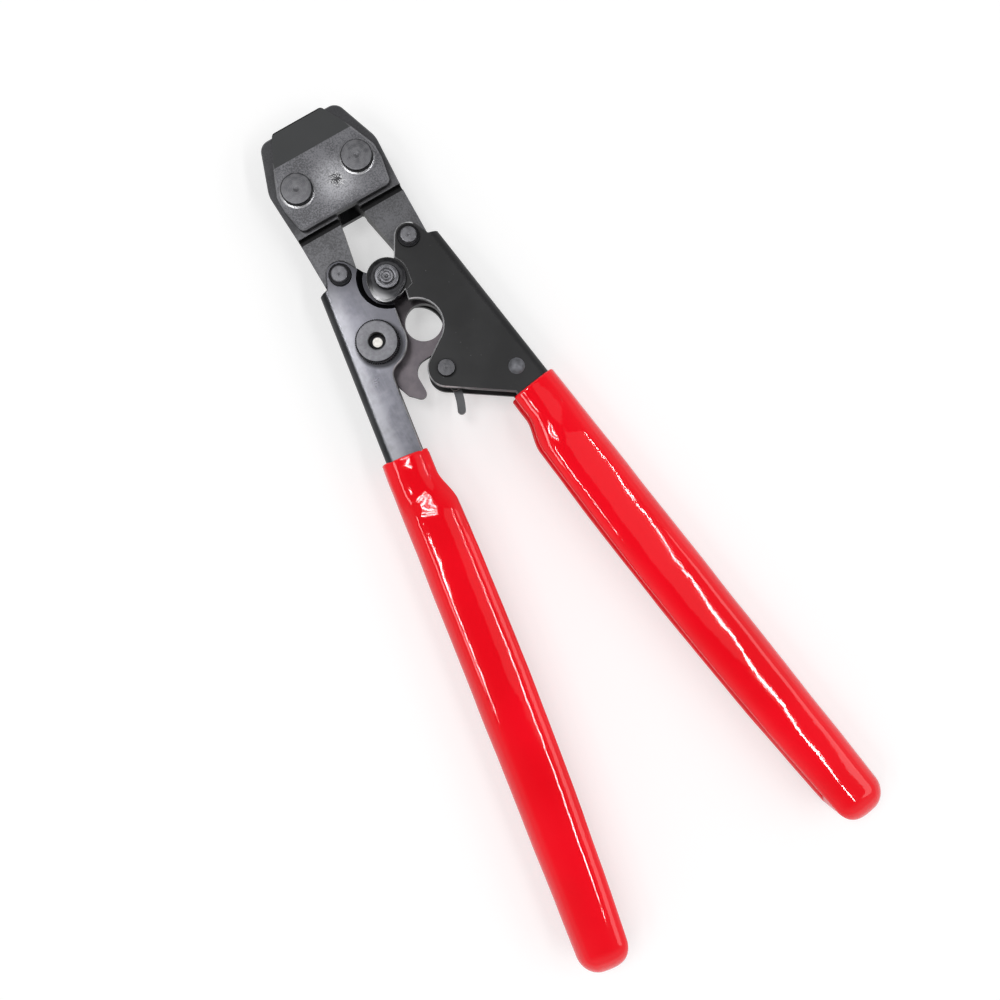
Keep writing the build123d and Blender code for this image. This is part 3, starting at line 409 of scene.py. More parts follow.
def sleeve(side, phase, closed_end, neck_sunk):
    """The section's points at each row, scaled by the row, lowered at the neck, then moved in along their
    normals by the swells' full size less a sum of sines of the distance and of the way round."""
    run, inset, plan, tall, swell = (column[:, None] for column in sleeve_rows(closed_end).T)
    share, groove, height = section.T
    far = open_side(run)
    width = WEB_SIDE + share * (far - WEB_SIDE) - groove * (1 - smooth(*GROOVE_STOP, run))
    middle, half = (far + WEB_SIDE) / 2, (far - WEB_SIDE) / 2
    width = middle + (width - middle) * plan * (1 - inset / half)
    sunk = neck_sunk * (1 - smooth(*NECK_CLIMB, run)) * (inset < 1)
    sunk = sunk * smooth(*SUNK_FACE, np.abs(height) / GRIP_HALF)
    height = height * tall * (1 - inset / GRIP_HALF) - np.sign(height) * sunk
    grid = on_handle(run + 0 * width, width, height, side)
    normal = np.cross(np.gradient(grid, axis=0), np.roll(grid, -1, 1) - np.roll(grid, 1, 1))
    normal = normal / np.maximum(np.linalg.norm(normal, axis=-1, keepdims=True), 1e-12) * side
    loop = np.linspace(0, 2 * math.pi, len(section), endpoint=False)
    wave = sum(size * np.sin(2 * math.pi * run / length + turns * loop + start + phase)
               for length, turns, size, start in SWELLS)
    deepest = sum(size for _, _, size, _ in SWELLS)
    return grid + normal * ((wave - deepest) * swell)[..., None] * MM


grips = {}
for side, label, phase, closed_end in ((-1, "left", 0.0, GRIP_END), (1, "right", 2.4, GRIP_END - 1.0)):
    grips[label] = skin(label + "_grip_skin", sleeve(side, phase, closed_end, NECK_SUNK[label]))
    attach(grips[label], "handle_" + label)
    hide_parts(label + "_grip")

# %% [markdown]
# The adjuster dial is a turned steel button with a fine straight knurl on its rim, a socket in its
# face and an eccentric shank below. A knurl drawn only as bump would leave the outline smooth, so the rim
# is cut for real: a profile of radius and height is spun round the dial's axis, and where it runs over the
# rim the radius follows a row of small teeth. The shank's eccentric part is the same profile set sideways.

# %% The knurled dial
DIAL = np.array((-13.3, -16.7))
ECCENTRICITY = 0.4
OFFSET = ECCENTRICITY * DIAL / np.linalg.norm(DIAL)
TEETH = 60
TOOTH_CUT = 0.36
STEPS_A_TOOTH = 8
VALLEY_POWER = 1.4
# Radius, height, share of the eccentric offset, share of the tooth's cut.
DIAL_PROFILE = np.array([
    (1.61, 3.5, 0, 0), (2.8, 3.5, 0, 0), (3.0, 3.7, 0, 0), (3.0, 6.6, 0, 0), (3.0, 6.61, 1, 0),
    (3.0, 19.39, 1, 0), (3.0, 19.4, 0, 0), (4.5, 19.4, 0, 0), (4.5, 22.5, 0, 0), (6.6, 22.5, 0, 0),
    (6.8, 22.54, 0, 0), (7.0, 22.72, 0, 0.4), (7.2, 22.95, 0, 1), (7.25, 23.05, 0, 1), (7.25, 23.6, 0, 1),
    (7.25, 24.2, 0, 1), (7.25, 24.85, 0, 1), (7.2, 25.0, 0, 1), (7.05, 25.22, 0, 0.5), (6.9, 25.4, 0, 0.1),
    (6.72, 25.53, 0, 0), (6.5, 25.59, 0, 0), (6.3, 25.6, 0, 0), (4.6, 25.6, 0, 0), (3.1, 25.6, 0, 0),
    (2.95, 25.58, 0, 0), (2.8, 25.5, 0, 0), (2.72, 25.35, 0, 0), (2.7, 25.15, 0, 0), (2.7, 23.2, 0, 0),
    (2.7, 21.7, 0, 0), (2.62, 21.5, 0, 0), (2.4, 21.4, 0, 0), (1.9, 21.4, 0, 0), (1.61, 21.4, 0, 0),
    (1.61, 12.0, 0, 0)])


def knurled_dial():
    """Each profile point goes round a circle whose radius dips once a tooth, by a cosine raised to a power
    that narrows the valley."""
    turn = np.linspace(0, 2 * math.pi, TEETH * STEPS_A_TOOTH, endpoint=False)
    radius, height, moved, cut = (column[:, None] for column in DIAL_PROFILE.T)
    valley = (0.5 - 0.5 * np.cos(TEETH * turn)) ** VALLEY_POWER
    reach = radius - TOOTH_CUT * cut * valley
    x = DIAL[0] + OFFSET[0] * moved + reach * np.cos(turn)
    y = DIAL[1] + OFFSET[1] * moved + reach * np.sin(turn)
    return np.stack((x, y, height + 0 * x), -1) * MM


dial = skin("adjuster_dial_knurled", knurled_dial(), ring=True, crease=40)
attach(dial, "adjuster")
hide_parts("adjuster_dial")

# %% [markdown]
# Rivets and pins are turned or headed round an axis, so their edges are softly broken, never sharp, and
# they keep the small pit of the lathe's centre. One helper rounds the corners of a profile and spins it. A
# corner is given as radius, height above the tool's mid-plane and softness.

# %% Turned pieces
HEAD_PIVOTS = {"left": (-11.2, 38.9), "right": (11.2, 38.9)}
ARM_PIVOTS = {"left": (-12.9, 8.4), "right": (12.9, 8.4)}
PAWL_PIVOT = (2.0, -35.2)
CORNER_STEPS, ROUND_STEPS = 6, 96


def turned_skin(name, centre, corners, ring=False):
    """Each corner becomes a quadratic curve that leaves one side by its softness before the corner and joins
    the next side as far after it. The profile is then spun round an upright axis."""
    place, soft = np.array(corners)[:, :2], np.array(corners)[:, 2:]
    before, after = np.roll(place, 1, 0) - place, np.roll(place, -1, 0) - place
    start = place + soft * before / np.linalg.norm(before, axis=1, keepdims=True)
    end = place + soft * after / np.linalg.norm(after, axis=1, keepdims=True)
    t = np.linspace(0, 1, CORNER_STEPS)[None, :, None]
    curve = (1 - t) ** 2 * start[:, None] + 2 * t * (1 - t) * place[:, None] + t ** 2 * end[:, None]
    radius, height = curve.reshape(-1, 2).T[:, :, None]
    turn = np.linspace(0, 2 * math.pi, ROUND_STEPS, endpoint=False)
    x, y = centre[0] + radius * np.cos(turn), centre[1] + radius * np.sin(turn)
    return skin(name, np.stack(np.broadcast_arrays(x, y, MID + height), -1) * MM, ring=ring, crease=50)


def both_ends(*half):
    """A profile for a piece with like ends: the given half from its centre to its shank, then its mirror."""
    return [*half, *[(radius, -height, soft) for radius, height, soft in reversed(half)]]


HEAD_RIVET = both_ends((0.15, 12.76, 0.04), (0.50, 12.84, 0.05), (0.95, 13.0, 0.15), (5.2, 13.0, 0.42),
                       (5.2, 10.6, 0.05), (4.0, 10.6, 0.05))
ARM_PIN = both_ends((0.12, 11.9, 0.04), (0.55, 12.0, 0.10), (2.7, 12.0, 0.38), (2.7, 10.3, 0.15),
                    (3.75, 10.3, 0.30), (3.75, 9.4, 0.05), (3.0, 9.4, 0.05))
PAWL_PIN = both_ends((0.12, 11.48, 0.04), (0.55, 11.6, 0.10), (2.9, 11.6, 0.40), (2.9, 9.4, 0.05),
                     (2.0, 9.4, 0.05))
MAIN_RIVET = both_ends((0.15, 12.76, 0.04), (0.60, 12.97, 0.08), (1.20, 13.0, 0.10), (1.38, 12.86, 0.05),
                       (1.60, 13.0, 0.08), (2.25, 13.0, 0.15), (2.45, 12.42, 0.10), (2.75, 12.5, 0.10),
                       (4.1, 12.5, 0.50), (4.1, 10.6, 0.05), (3.5, 10.6, 0.05))
rivets = {"main_pivot_rivet": turned_skin("main_pivot_rivet_turned", (0, 0), MAIN_RIVET),
          "pawl_pin": turned_skin("pawl_pin_turned", PAWL_PIVOT, PAWL_PIN)}
for label in ("left", "right"):
    rivets[label + "_head_rivet"] = turned_skin(label + "_head_rivet_turned", HEAD_PIVOTS[label], HEAD_RIVET)
    rivets[label + "_arm_pin"] = turned_skin(label + "_arm_pin_turned", ARM_PIVOTS[label], ARM_PIN)
bodies = {node: body for body, nodes in frame["record"]["behaviour"]["bodies"].items() for node in nodes}
for node, piece in rivets.items():
    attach(piece, bodies[node])
    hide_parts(node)

# %% [markdown]
# Round each head rivet the plate was pressed up by the riveting, which leaves a low coned seat that takes a
# bright crescent of light. The seats belong to the plates, so they ride with the head.

# %% Seats round the head rivets
SEAT_LIP = ((5.26, 10.84, 0.08), (6.0, 10.6, 0.15), (6.0, 10.3, 0.05), (5.26, 10.3, 0.05))
seats = []
for label, centre in HEAD_PIVOTS.items():
    for name, face in (("front", 1), ("back", -1)):
        lip = [(radius, height * face, soft) for radius, height, soft in SEAT_LIP]
        seats.append(turned_skin(f"{label}_{name}_rivet_seat", centre, lip, ring=True))
        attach(seats[-1], "head")

# %% [markdown]
# The pawl's return spring hangs between a peg on the pawl and the anchor rivet, under the right flange.
# It is music wire wound close, with a round eye at each end. A round profile is carried along one path:
# an eye, a lead that climbs onto the coil, the coil, and the other eye. Because the wire turns through
# space, the profile needs a frame at each step. Two directions square to the path are enough: one is also
# square to a fixed, nearly upright direction, and the other is square to the first.

# %% The wound spring
PEG = np.array((1.9, -41.0))
ANCHOR = np.array((22.33, -46.03))
WIRE = 0.4
COIL = 1.4
SPRING_Z = 16.6
PEG_EYE = 1.5
ANCHOR_EYE = 2.25
LEAD = 3.6
TURNS = 15
STEPS_A_TURN = 24
GROW_TURN = 4.0
EYE_SWEEP, EYE_STEPS = math.radians(300), 60
NEARLY_UP = (0.05, 0.03, 1.0)


def spring_path():
    """Along the spring: round the peg, up onto a helix of constant pitch, and round the anchor."""
    span = ANCHOR - PEG
    length = np.linalg.norm(span)
    ahead = span / length
    aside = np.array((-ahead[1], ahead[0]))
    turn = np.linspace(-EYE_SWEEP, 0, EYE_STEPS)[:-1]
    peg_eye = np.stack((PEG_EYE * np.cos(turn), PEG_EYE * np.sin(turn), 0 * turn), -1)
    turn = np.linspace(0, 2 * math.pi * TURNS, TURNS * STEPS_A_TURN)
    run = np.linspace(LEAD, length - LEAD, len(turn))
    grow = smooth(0, GROW_TURN, turn) * smooth(0, GROW_TURN, turn[-1] - turn)
    coil = np.stack((run, COIL * grow * np.sin(turn), COIL * grow * np.cos(turn)), -1)
    turn = np.linspace(math.pi, math.pi - EYE_SWEEP, EYE_STEPS)[1:]
    anchor_eye = np.stack((length + ANCHOR_EYE * np.cos(turn), ANCHOR_EYE * np.sin(turn), 0 * turn), -1)
    local = np.vstack((peg_eye, coil, anchor_eye))
    flat = PEG + local[:, :1] * ahead + local[:, 1:2] * aside
    return np.column_stack((flat, SPRING_Z + local[:, 2]))


def wire_skin(path, radius, sides=12):
    """A circle at each point of the path, in the plane square to the path's direction there."""
    ahead = np.gradient(path, axis=0)
    ahead = ahead / np.linalg.norm(ahead, axis=1, keepdims=True)
    first = np.cross(ahead, NEARLY_UP)
    first = first / np.linalg.norm(first, axis=1, keepdims=True)
    second = np.cross(ahead, first)
    turn = np.linspace(0, 2 * math.pi, sides, endpoint=False)[None, :, None]
    return path[:, None] + radius * (np.cos(turn) * first[:, None] + np.sin(turn) * second[:, None])


spring = skin("pawl_spring_coil", wire_skin(spring_path(), WIRE) * MM)
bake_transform(spring)
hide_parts("pawl_spring")

# %% [markdown]
# Dipped vinyl is PVC plastisol, baked on: a saturated red all the way through, with a hard gloss and a
# skin that is never quite level. A plain red with low roughness would look like paint on glass. The colour
# drifts a little, the gloss varies where the grips were handled, and two bumps break the highlights: slow
# runs a few millimetres long and a fine orange peel.

# %% Dipped vinyl
vinyl, tree, place = new_finish("dipped_red_vinyl", IOR=1.53)
drift = add(tree, "TexNoise", {"Vector": place, "Scale": 1 / (35 * MM), "Detail": 2.0})
drift = add(tree, "MapRange", (drift, 0.35, 0.65, 0.0, 1.0), interpolation_type="SMOOTHSTEP")
red = add(tree, "Mix", {0: drift, 6: linear("#F30418"), 7: linear("#FC061D")}, data_type="RGBA")
handling = add(tree, "TexNoise", {"Vector": place, "Scale": 1 / (9 * MM), "Detail": 3.0})
gloss = add(tree, "MapRange", (handling, 0.3, 0.7, 0.035, 0.075))
runs = add(tree, "TexNoise", {"Vector": place, "Scale": 1 / (6 * MM), "Detail": 1.0})
peel = add(tree, "TexNoise", {"Vector": place, "Scale": 1 / (1.6 * MM), "Detail": 3.0})
slow = add(tree, "Bump", {"Height": runs, "Strength": 0.5, "Distance": 0.06 * MM})
fine = add(tree, "Bump", {"Height": peel, "Strength": 0.3, "Distance": 0.045 * MM, "Normal": slow})
surface(tree, Base_Color=red, Roughness=gloss, Normal=fine)
for piece in grips.values():
    piece.data.materials.append(vinyl)
print("vinyl: runs 6 mm, peel 1.6 mm")

# %% [markdown]
# The jaws and head plates are forged steel with a manganese phosphate coat: a grey crust of tiny crystals
# with small pits, rubbed lighter along the broken edges. The edges are found by the way they face: a
# chamfer looks half up and half sideways, and nothing else on a flat plate does.

# %% Phosphated forgings
EDGE_FACING, EDGE_SPREAD = 0.70, 0.15


def facing_up(tree):
    """How far a face looks straight up or down: 1 on flat tops, 0 on upright walls."""
    facing = add(tree, "SeparateXYZ", (add(tree, "NewGeometry").outputs["Normal"],)).outputs["Z"]
    return add(tree, "Math", (facing,), operation="ABSOLUTE")


def facing_edge(tree):
    """1 on faces that look about half up and half sideways, as chamfers do, else 0."""
    return add(tree, "Math", (facing_up(tree), EDGE_FACING, EDGE_SPREAD), operation="COMPARE")


def painted_wall_shade(tree, colour, share):
    """Painted shade: darkens upright walls towards near black, as shade and dark reflections darken them."""
    wall = add(tree, "MapRange", (facing_up(tree), 0.25, 0.60, share, 0.0))
    return add(tree, "Mix", {0: wall, 6: colour, 7: linear("#161617")}, data_type="RGBA")


def phosphate(name, pitted, sound):
    """The crust common to jaws and plates: pits of half a millimetre, gathered in drifts, rubbed edges and
    painted shade on upright walls. Gives the material, its graph, where the piece lies, the colour and the
    pits."""
    material, tree, place = new_finish(name, Metallic=0.7)
    pits = add(tree, "TexNoise", {"Vector": place, "Scale": 1 / (0.5 * MM), "Detail": 2.0})
    drifts = add(tree, "TexNoise", {"Vector": place, "Scale": 1 / (7 * MM), "Detail": 2.0})
    spread = add(tree, "Math", (drifts, 0.6, pits), operation="MULTIPLY_ADD")
    tone = add(tree, "MapRange", (spread, 0.60, 0.95, 0.0, 1.0), interpolation_type="SMOOTHSTEP")
    crust = add(tree, "Mix", {0: tone, 6: linear(pitted), 7: linear(sound)}, data_type="RGBA")
    rubbed = add(tree, "MapRange", (drifts, 0.3, 0.7, 0.1, 0.5))
    worn = add(tree, "Math", (facing_edge(tree), rubbed), operation="MULTIPLY")
    crust = add(tree, "Mix", {0: worn, 6: crust, 7: linear("#909093")}, data_type="RGBA")
    surface(tree, Roughness=add(tree, "MapRange", (spread, 0.5, 1.0, 0.50, 0.38)))
    # The upright walls get painted shade.
    return material, tree, place, painted_wall_shade(tree, crust, 0.9), pits


print("broken edges face up by", EDGE_FACING, "give or take", EDGE_SPREAD)

# %% [markdown]
# The jaws get painted shade beside the plates, so they are darker there than on their arms, and the groove
# across each gets near black painted shade.

# %% The jaws
SHADED_GROOVE = (23.3, 25.5)
SHADE = 6.0
jaw_finish, tree, place, crust, pits = phosphate("phosphated_jaw", "#505052", "#606063")
upwards = add(tree, "SeparateXYZ", (place,)).outputs["Y"]
middle, half = sum(SHADED_GROOVE) / 2, (SHADED_GROOVE[1] - SHADED_GROOVE[0]) / 2
groove = add(tree, "Math", (upwards, middle * MM, half * MM), operation="COMPARE")
# Painted shade: the jaws darken towards the plates.
beside = add(tree, "MapRange", (upwards, SHADED_GROOVE[1] * MM, (SHADED_GROOVE[1] + SHADE) * MM, 0.0, 0.65))
crust = add(tree, "Mix", {0: beside, 6: crust, 7: linear("#303032")}, data_type="RGBA")
# Painted shade: the groove turns near black.
crust = add(tree, "Mix", {0: groove, 6: crust, 7: linear("#101011")}, data_type="RGBA")
surface(tree, Base_Color=crust,
        Normal=add(tree, "Bump", {"Height": pits, "Strength": 0.4, "Distance": 0.03 * MM}))
# The dark beside the plates and in the groove is painted shade.
print("jaws: pits 0.5 mm, dark beside the plates, oil in the groove")

# %% [markdown]
# Between the plates' rivets a painted sheen lightens the crust, and in the middle of the front plate is a
# small
# burst of bruises: its outline is a circle whose reach follows a noise of the direction, which makes it star
# shaped. Many finishes here go by the distance from an upright axis, so one helper measures that.

# %% The plates' painted sheen and the burst
def around(tree, place, centre):
    """The way from an upright axis to each point, laid flat, and the length of that way."""
    start = (-centre[0] * MM, -centre[1] * MM, 0)
    aside = add(tree, "Mapping", {"Vector": place, "Location": start, "Scale": (1, 1, 0)})
    return aside, add(tree, "VectorMath", (aside,), operation="LENGTH")


BURST = (1.7, 35.9)
plate_finish, tree, place, crust, pits = phosphate("phosphated_plate", "#565659", "#737377")
lies = add(tree, "SeparateXYZ", (place,))
aside, reach = around(tree, place, BURST)
# Painted sheen: the crust lightens towards the middle of the plates.
painted_sheen = add(tree, "MapRange", (reach, 2 * MM, 10 * MM, 1.25, 0.0), interpolation_type="SMOOTHSTEP")
painted_sheen = add(tree, "Math", (painted_sheen, pits), operation="MULTIPLY")
crust = add(tree, "Mix", {0: painted_sheen, 6: crust, 7: linear("#B2B2B6")}, data_type="RGBA")
heading = add(tree, "VectorMath", (aside,), operation="NORMALIZE")
spoke = add(tree, "TexNoise", {"Vector": heading, "Scale": 7.0})
spoke = add(tree, "MapRange", (spoke, 0.35, 0.65, 0.9 * MM, 3.4 * MM))
inside = add(tree, "Math", (spoke, reach), operation="SUBTRACT")
star = add(tree, "MapRange", (inside, -0.1 * MM, 0.4 * MM, 0.0, 0.85))
front = add(tree, "Math", (lies.outputs["Z"], MID * MM), operation="GREATER_THAN")
star = add(tree, "Math", (star, front), operation="MULTIPLY")
chips = add(tree, "TexNoise", {"Vector": place, "Scale": 1 / (0.5 * MM), "Detail": 1.0})
bright = add(tree, "MapRange", (reach, 0.6 * MM, 2.4 * MM, -0.12, 0.12))
bright = add(tree, "Math", (chips, bright), operation="ADD")
bruise = add(tree, "MapRange", (bright, 0.42, 0.58, 0.0, 1.0), interpolation_type="SMOOTHSTEP")
bruise = add(tree, "Mix", {0: bruise, 6: linear("#1C1C1D"), 7: linear("#C6C6C8")}, data_type="RGBA")
crust = add(tree, "Mix", {0: star, 6: crust, 7: bruise}, data_type="RGBA")
print("plates: a burst of bruises at", BURST, "mm")

# %% [markdown]
# The plates' sloped noses were ground before coating, so they are smoother, and their darker colour is
# painted shade on the slope. Inside, between the plates, painted shade keeps everything dark.

# %% The plates' nose and inner faces
NOSE_FROM = 48.6
INNER_HALF = 8.0
# Ground and smoother, with painted shade: the sloped nose takes a darker plain colour.
nose_ground_and_shade = add(tree, "MapRange", (lies.outputs["Y"], (NOSE_FROM - 0.1) * MM, (NOSE_FROM + 0.1) * MM, 0.0, 1.0))
crust = add(tree, "Mix", {0: nose_ground_and_shade, 6: crust, 7: linear("#525354")}, data_type="RGBA")
# Painted shade: the inner faces between the plates turn near black.
between = add(tree, "Math", (lies.outputs["Z"], MID * MM, INNER_HALF * MM), operation="COMPARE")
between = add(tree, "Math", (between, 0.85), operation="MULTIPLY")
crust = add(tree, "Mix", {0: between, 6: crust, 7: linear("#101011")}, data_type="RGBA")
dent = add(tree, "Math", (star, chips), operation="MULTIPLY")
hollow = add(tree, "Bump", {"Height": dent, "Strength": 0.6, "Distance": -0.15 * MM})
surface(tree, Base_Color=crust,
        Normal=add(tree, "Bump", {"Height": pits, "Strength": 0.4, "Distance": 0.03 * MM, "Normal": hollow}))
print("plates: ground nose from", NOSE_FROM, "mm")

# %% [markdown]
# The rivets, pins, washers and the dial were turned on a lathe, so their faces carry fine rings round
# their own axis. Each piece has its own axis, so one function builds the same finish round any centre:
# the distance from the axis drives a ripple in the bump and a faint ripple in the colour. Painted shade
# turns a band of that distance near black, as on a pin's collar, round a rivet's side or in the dial's
# socket.
# On one side of the washers and the pressed seats a painted highlight lightens the metal to a pale grey.

# %% Turned steel
PAINTED_HIGHLIGHT_SIDE = (-0.82, -0.57, 0.0)


def turned_steel(name, centre, dark, light, pitch, roughness, painted_shade_bands=(), painted_highlight_side=None):
    """Lathe rings: a sine of the distance from the axis, one wave per pitch, plus stains about 1.5 mm across.
    A band of painted shade, near black, runs between two radii. A painted highlight side is a colour, and how
    far out it starts and is full."""
    material, tree, place = new_finish(name, Metallic=0.85)
    aside, reach = around(tree, place, centre)
    ripple = add(tree, "Math", (reach, 2 * math.pi / (pitch * MM)), operation="MULTIPLY")
    ripple = add(tree, "Math", (ripple,), operation="SINE")
    stains = add(tree, "TexNoise", {"Vector": place, "Scale": 1 / (1.5 * MM), "Detail": 4.0})
    tone = add(tree, "Math", (ripple, 0.06, stains), operation="MULTIPLY_ADD")
    tone = add(tree, "MapRange", (tone, 0.3, 0.7, 0.0, 1.0), interpolation_type="SMOOTHSTEP")
    colour = add(tree, "Mix", {0: tone, 6: linear(dark), 7: linear(light)}, data_type="RGBA")
    if painted_highlight_side:
        bare, near, far = painted_highlight_side
        # Painted highlight: one side lightens towards the pale colour.
        sideways = add(tree, "VectorMath", (aside, PAINTED_HIGHLIGHT_SIDE), operation="DOT_PRODUCT").outputs["Value"]
        rubbed = add(tree, "MapRange", (sideways, near * MM, far * MM, 0.0, 1.0),
                     interpolation_type="SMOOTHSTEP")
        colour = add(tree, "Mix", {0: rubbed, 6: colour, 7: linear(bare)}, data_type="RGBA")
    # Painted shade: each band turns near black.
    for low, high in painted_shade_bands:
        band = add(tree, "Math", (reach, (low + high) / 2 * MM, (high - low) / 2 * MM), operation="COMPARE")
        colour = add(tree, "Mix", {0: band, 6: colour, 7: linear("#1B1B1D")}, data_type="RGBA")
    rings = add(tree, "Bump", {"Height": ripple, "Strength": 0.3, "Distance": 0.010 * MM})
    surface(tree, Base_Color=colour, Normal=rings,
            Roughness=add(tree, "MapRange", (stains, 0.3, 0.7, roughness - 0.06, roughness + 0.06)))
    return material


# The painted highlight lies towards this side.
print("turned steel is rubbed most towards", PAINTED_HIGHLIGHT_SIDE)

# %% [markdown]
# The turned pieces differ in their greys and in where painted shade lies. The washers are the darkest.

# %% Every turned piece takes its finish
PAST_RIM = 9.0
finish_of = {}
for label, pivot in HEAD_PIVOTS.items():
    finish_of[label + "_head_rivet"] = turned_steel(label + "_rivet_turned_steel", pivot, "#5A5A5D",
                                                    "#727275", 0.55, 0.42, painted_shade_bands=[(4.95, PAST_RIM)])
    # The seats and the washer get a painted highlight on one side.
    finish_of[label + "_seat"] = turned_steel(label + "_seat_rubbed_steel", pivot, "#7C7C7F", "#949497",
                                              4.0, 0.30, painted_highlight_side=("#C8C8CA", 1.5, 5.5))
for label, pivot in ARM_PIVOTS.items():
    finish_of[label + "_arm_pin"] = turned_steel(label + "_pin_turned_steel", pivot, "#5C5C5F", "#747478",
                                                 0.5, 0.42, painted_shade_bands=[(2.75, PAST_RIM)])
finish_of["main_pivot_rivet"] = turned_steel("pivot_turned_steel", (0, 0), "#525255", "#727276", 0.6, 0.34,
                                             painted_shade_bands=[(3.9, PAST_RIM)])
pin_finish = turned_steel("pawl_pin_turned_steel", PAWL_PIVOT, "#4E4E51", "#646467", 0.5, 0.45,
                          painted_shade_bands=[(2.7, PAST_RIM)])
washer_finish = turned_steel("washer_turned_steel", (0, 0), "#262628", "#38383A", 1.1, 0.38,
                             painted_highlight_side=("#B0B0B2", 4.0, 8.5))
dial_finish = turned_steel("dial_turned_steel", DIAL, "#626266", "#76767A", 0.4, 0.40,
                           painted_shade_bands=[(0.0, 2.85), (6.65, 7.0)])
finish_of["pawl_pin"] = pin_finish
for face in ("front", "back"):
    finish_of[face + "_pawl_spacer"] = pin_finish
    finish_of[face + "_pivot_washer"] = finish_of[face + "_pivot_spacer"] = washer_finish
dial.data.materials.append(dial_finish)
for node, piece in rivets.items():
    piece.data.materials.append(finish_of[node])
for seat in seats:
    seat.data.materials.append(finish_of[seat.name.split("_")[0] + "_seat"])
print("turned finishes:", len(set(finish_of.values())) + 1)

# %% [markdown]
# The left handle is a bent steel channel, chemically blued: a thin oxide that lets the metal shine
# through with a cold, slightly violet cast. It is stained in soft patches, faintly rubbed along its length
# and bare along its cut edges. A painted sheen lies beside the bend, the bend itself gets painted shade,
# and the flange gets painted shade away from the web. Those depend on the distance from the web, which
# leans, so a helper measures it.

# %% Blued channel
BEND_REACH = 5.0


def from_web(tree, place, side):
    """Distance inwards from a handle's web: a dot product with the way inwards."""
    inwards = (-side * math.cos(LEAN), -math.sin(LEAN), 0)
    offset = (side * WEB_TOP[0] * inwards[0] + WEB_TOP[1] * inwards[1]) * MM
    width = add(tree, "VectorMath", (place, inwards), operation="DOT_PRODUCT").outputs["Value"]
    return add(tree, "Math", (width, offset), operation="SUBTRACT")


def cut_edges(tree, width):
    """1 on the broken edges of a flange. The folded bend beside the web is left out."""
    flange = add(tree, "Math", (width, BEND_REACH * MM), operation="GREATER_THAN")
    return add(tree, "Math", (facing_edge(tree), flange), operation="MULTIPLY")


blued, tree, place = new_finish("blued_steel", Metallic=0.9)
turned = add(tree, "Mapping", {"Vector": place, "Rotation": (0, 0, -LEAN), "Scale": (1, 0.08, 1)})
rub = add(tree, "TexNoise", {"Vector": turned, "Scale": 1 / (0.6 * MM), "Detail": 3.0})
stain = add(tree, "TexNoise", {"Vector": place, "Scale": 1 / (11 * MM), "Detail": 5.0, "Roughness": 0.6})
tone = add(tree, "MapRange", (stain, 0.35, 0.65, 0.0, 1.0), interpolation_type="SMOOTHSTEP")
tint = add(tree, "Mix", {0: tone, 6: linear("#505056"), 7: linear("#707077")}, data_type="RGBA")
width = from_web(tree, place, -1)
streak = add(tree, "MapRange", (rub, 0.50, 0.85, 0.0, 0.25))
# Painted sheen beside the bend.
beside = add(tree, "MapRange", (width, 3.5 * MM, 8.0 * MM, 0.6, 0.0), interpolation_type="SMOOTHSTEP")
beside = add(tree, "Math", (beside, stain), operation="MULTIPLY")
# Painted shade away from the web.
far = add(tree, "MapRange", (width, 9.0 * MM, 15.0 * MM, 0.0, 0.5))
# Painted shade on the bend.
bend = add(tree, "MapRange", (width, 2.0 * MM, 2.8 * MM, 0.8, 0.0))
layers = ((streak, "#7C7C82"), (beside, "#A6A6AA"), (far, "#3C3C40"), (bend, "#242525"),
          (cut_edges(tree, width), "#A8A8AA"))
for share, colour in layers:
    tint = add(tree, "Mix", {0: share, 6: tint, 7: linear(colour)}, data_type="RGBA")
print("blued steel: rubbing 0.6 mm wide, stains 11 mm")

# %% [markdown]
# The blued handle's upper ears, also where they are sunk round the main pivot, get painted shade, and beside
# the dial a painted shadow lies on one side of it.

# %% Painted shade and shadow on the blued channel
DIAL_SHADOW_SHIFT = np.array((0.26, -0.965))
reach = around(tree, place, (0, 0))[1]
# Painted shade: the sunk ears round the main pivot turn dark, and so do the upright walls.
sunk = add(tree, "MapRange", (reach, 9.4 * MM, 10.1 * MM, 0.85, 0.0))
tint = add(tree, "Mix", {0: sunk, 6: painted_wall_shade(tree, tint, 0.85), 7: linear("#2E2E31")}, data_type="RGBA")
reach = around(tree, place, DIAL + DIAL_SHADOW_SHIFT)[1]
# Painted shadow: a dark ring beside the dial, set off to one side.
painted_dial_shadow = add(tree, "MapRange", (reach, 7.4 * MM, 8.4 * MM, 0.85, 0.0))
tint = add(tree, "Mix", {0: painted_dial_shadow, 6: tint, 7: linear("#1C1C1E")}, data_type="RGBA")
# Painted shade: darker towards the top of the handle, at its ears.
painted_ear_shade = add(tree, "MapRange", (add(tree, "SeparateXYZ", (place,)).outputs["Y"], -3 * MM, 8 * MM, 0.0, 0.75))
tint = add(tree, "Mix", {0: painted_ear_shade, 6: tint, 7: linear("#2A2A2D")}, data_type="RGBA")
grain = add(tree, "TexNoise", {"Vector": place, "Scale": 1 / (0.5 * MM), "Detail": 2.0})
surface(tree, Base_Color=tint, Roughness=add(tree, "MapRange", (stain, 0.3, 0.7, 0.26, 0.36)),
        Normal=add(tree, "Bump", {"Height": grain, "Strength": 0.25, "Distance": 0.012 * MM}))
finish_of["left_handle"] = blued
print("blued steel: grain 0.5 mm, painted_shadow set off from the dial by", DIAL_SHADOW_SHIFT, "mm")

# %% [markdown]
# The right handle was painted black by electro-coating before it was riveted. The paint is matt and even,
# with a faint orange peel and a little dust, and it broke away along the sheared edges, which show as thin
# bright lines round the cut-out and the ears.

